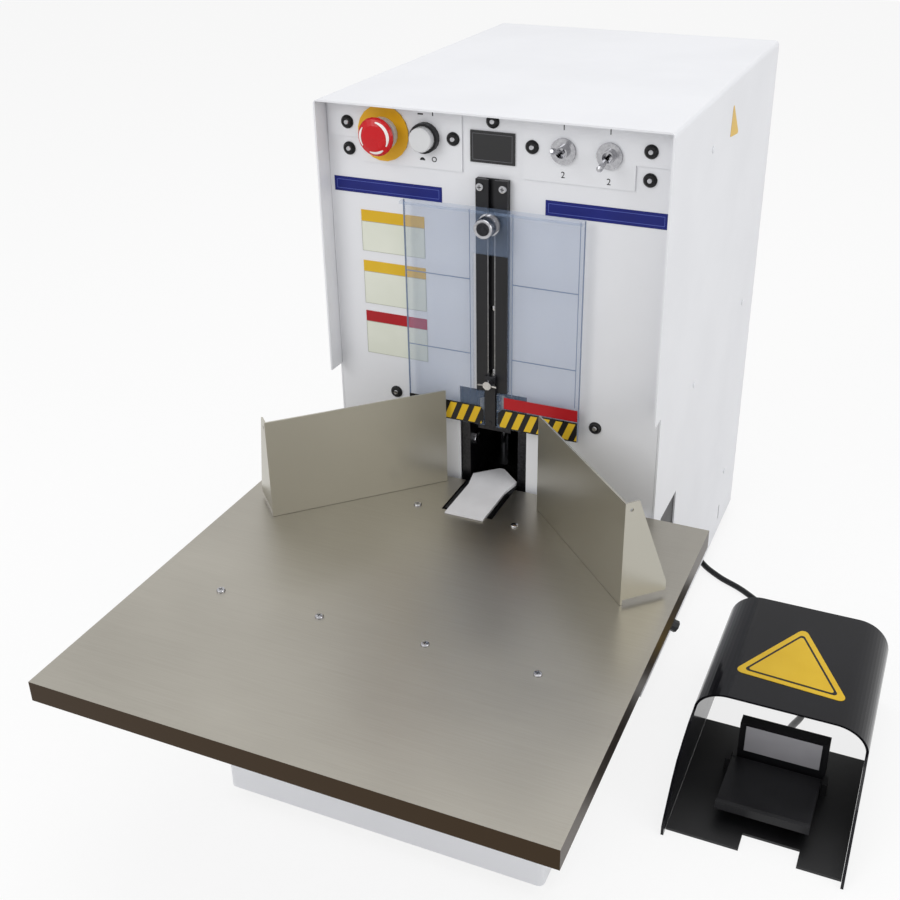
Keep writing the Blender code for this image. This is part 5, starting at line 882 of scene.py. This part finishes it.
# Painted shade: a flat disc of dark steel stands for the recess in the knob's end.
piece_from("knob_recess_shade", lambda shape: lathe(shape, RECESS_PROFILE, knob_middle), blued_steel,
           "shield_clamp_knob")


# The signs: a plain yellow triangle on the cabinet's right wall and a larger one, with a black line inside
# its rounded edge, on the foot switch's hood. Both are vinyl, and neither shows a symbol.
HOOD_TOP = 0.098
HOOD_CORNERS = [(0.359, 0.097), (0.298, -0.009), (0.423, -0.017)]
BLACK_INSET, MIDDLE_INSET = 0.0062, 0.0088
WALL_FACE = 0.190
WALL_CORNERS = [(0.257, 0.650), (0.252, 0.614), (0.296, 0.609)]
CORNER_STEPS = 6


def rounded_triangle(corners, radius):
    """A triangle's outline with its corners rounded."""
    outline = []
    for index in range(3):
        here = Vector(corners[index])
        first = (Vector(corners[index - 1]) - here).normalized()
        second = (Vector(corners[(index + 1) % 3]) - here).normalized()
        half_angle = first.angle(second) / 2
        middle = here + (first + second).normalized() * radius / sin(half_angle)
        start = (here + first * radius / tan(half_angle)) - middle
        end = (here + second * radius / tan(half_angle)) - middle
        for step in range(CORNER_STEPS + 1):
            outline.append(middle + start.slerp(end, step / CORNER_STEPS).normalized() * radius)
    return outline


def inset_corners(corners, distance):
    """A triangle's corners moved in so that each side lies a distance inside the old one."""
    moved = []
    for index in range(3):
        here = Vector(corners[index])
        first = (Vector(corners[index - 1]) - here).normalized()
        second = (Vector(corners[(index + 1) % 3]) - here).normalized()
        moved.append(here + (first + second).normalized() * distance / sin(first.angle(second) / 2))
    return moved


def on_hood(point, level):
    """A place on the hood's top, at a level above it."""
    return at(point[0], point[1], HOOD_TOP + level)


def on_wall(point, level):
    """A place on the cabinet's right wall, at a level out from it."""
    return at(WALL_FACE + level, point[0], point[1])


def sign(name, place, corners, radius, levels, ink):
    """A flat triangular sticker between two levels; place maps its plane and level to the machine."""
    outline = rounded_triangle(corners, radius)
    near, far = [[place(point, level) for point in outline] for level in levels]
    piece_from(name, lambda shape: thin_sheet(shape, near, far), ink)


sign("hood_sign", on_hood, HOOD_CORNERS, 0.006, (0.00005, 0.0005), tape_yellow)
sign("hood_sign_line", on_hood, inset_corners(HOOD_CORNERS, BLACK_INSET), 0.0035, (0.0004, 0.0007), tape_black)
sign("hood_sign_middle", on_hood, inset_corners(HOOD_CORNERS, MIDDLE_INSET), 0.0025, (0.0006, 0.0009),
     tape_yellow)
sign("wall_sign", on_wall, WALL_CORNERS, 0.002, (0.00005, 0.0004), yellow_ink)


# The foot switch's inner box: a grey cast face plate that stands a little proud of its black housing. It has
# the coarse grain of a painted casting.
FACE_MARGIN = 0.007
FACE_BOTTOM, FACE_TOP = 0.036, 0.0016
FACE_PROUD = 0.0004
cast_grey = moulded_plastic("grey_cast_face", "#B2B1B6", "#C2C1C6", 1.2, 0.00008, (0.35, 0.5))
box_low, box_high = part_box("pedal_switch_box")
face_low = Vector((box_low.x + FACE_MARGIN, box_low.y - FACE_PROUD, box_high.z - FACE_BOTTOM))
face_high = Vector((box_high.x - FACE_MARGIN, box_low.y + FACE_PROUD, box_high.z - FACE_TOP))
piece_from("switch_box_face", lambda shape: slab(shape, face_low, face_high), cast_grey)


# The power inlet's contacts: three plated blades that stand in its recess, where the plug of a mains lead
# would go. The middle one is higher than the others.
PIN_PLACES = ((0.103, 0.058), (0.110, 0.064), (0.117, 0.058))
PIN_HALF_WIDTH, PIN_HALF_HEIGHT = 0.001, 0.002
PIN_FRONT, PIN_BACK = 0.476, 0.492


def inlet_pins(shape):
    """The three pins."""
    for x, z in PIN_PLACES:
        slab(shape, at(x - PIN_HALF_WIDTH, PIN_FRONT, z - PIN_HALF_HEIGHT),
             at(x + PIN_HALF_WIDTH, PIN_BACK, z + PIN_HALF_HEIGHT))


piece_from("inlet_pins", inlet_pins, plated_steel)
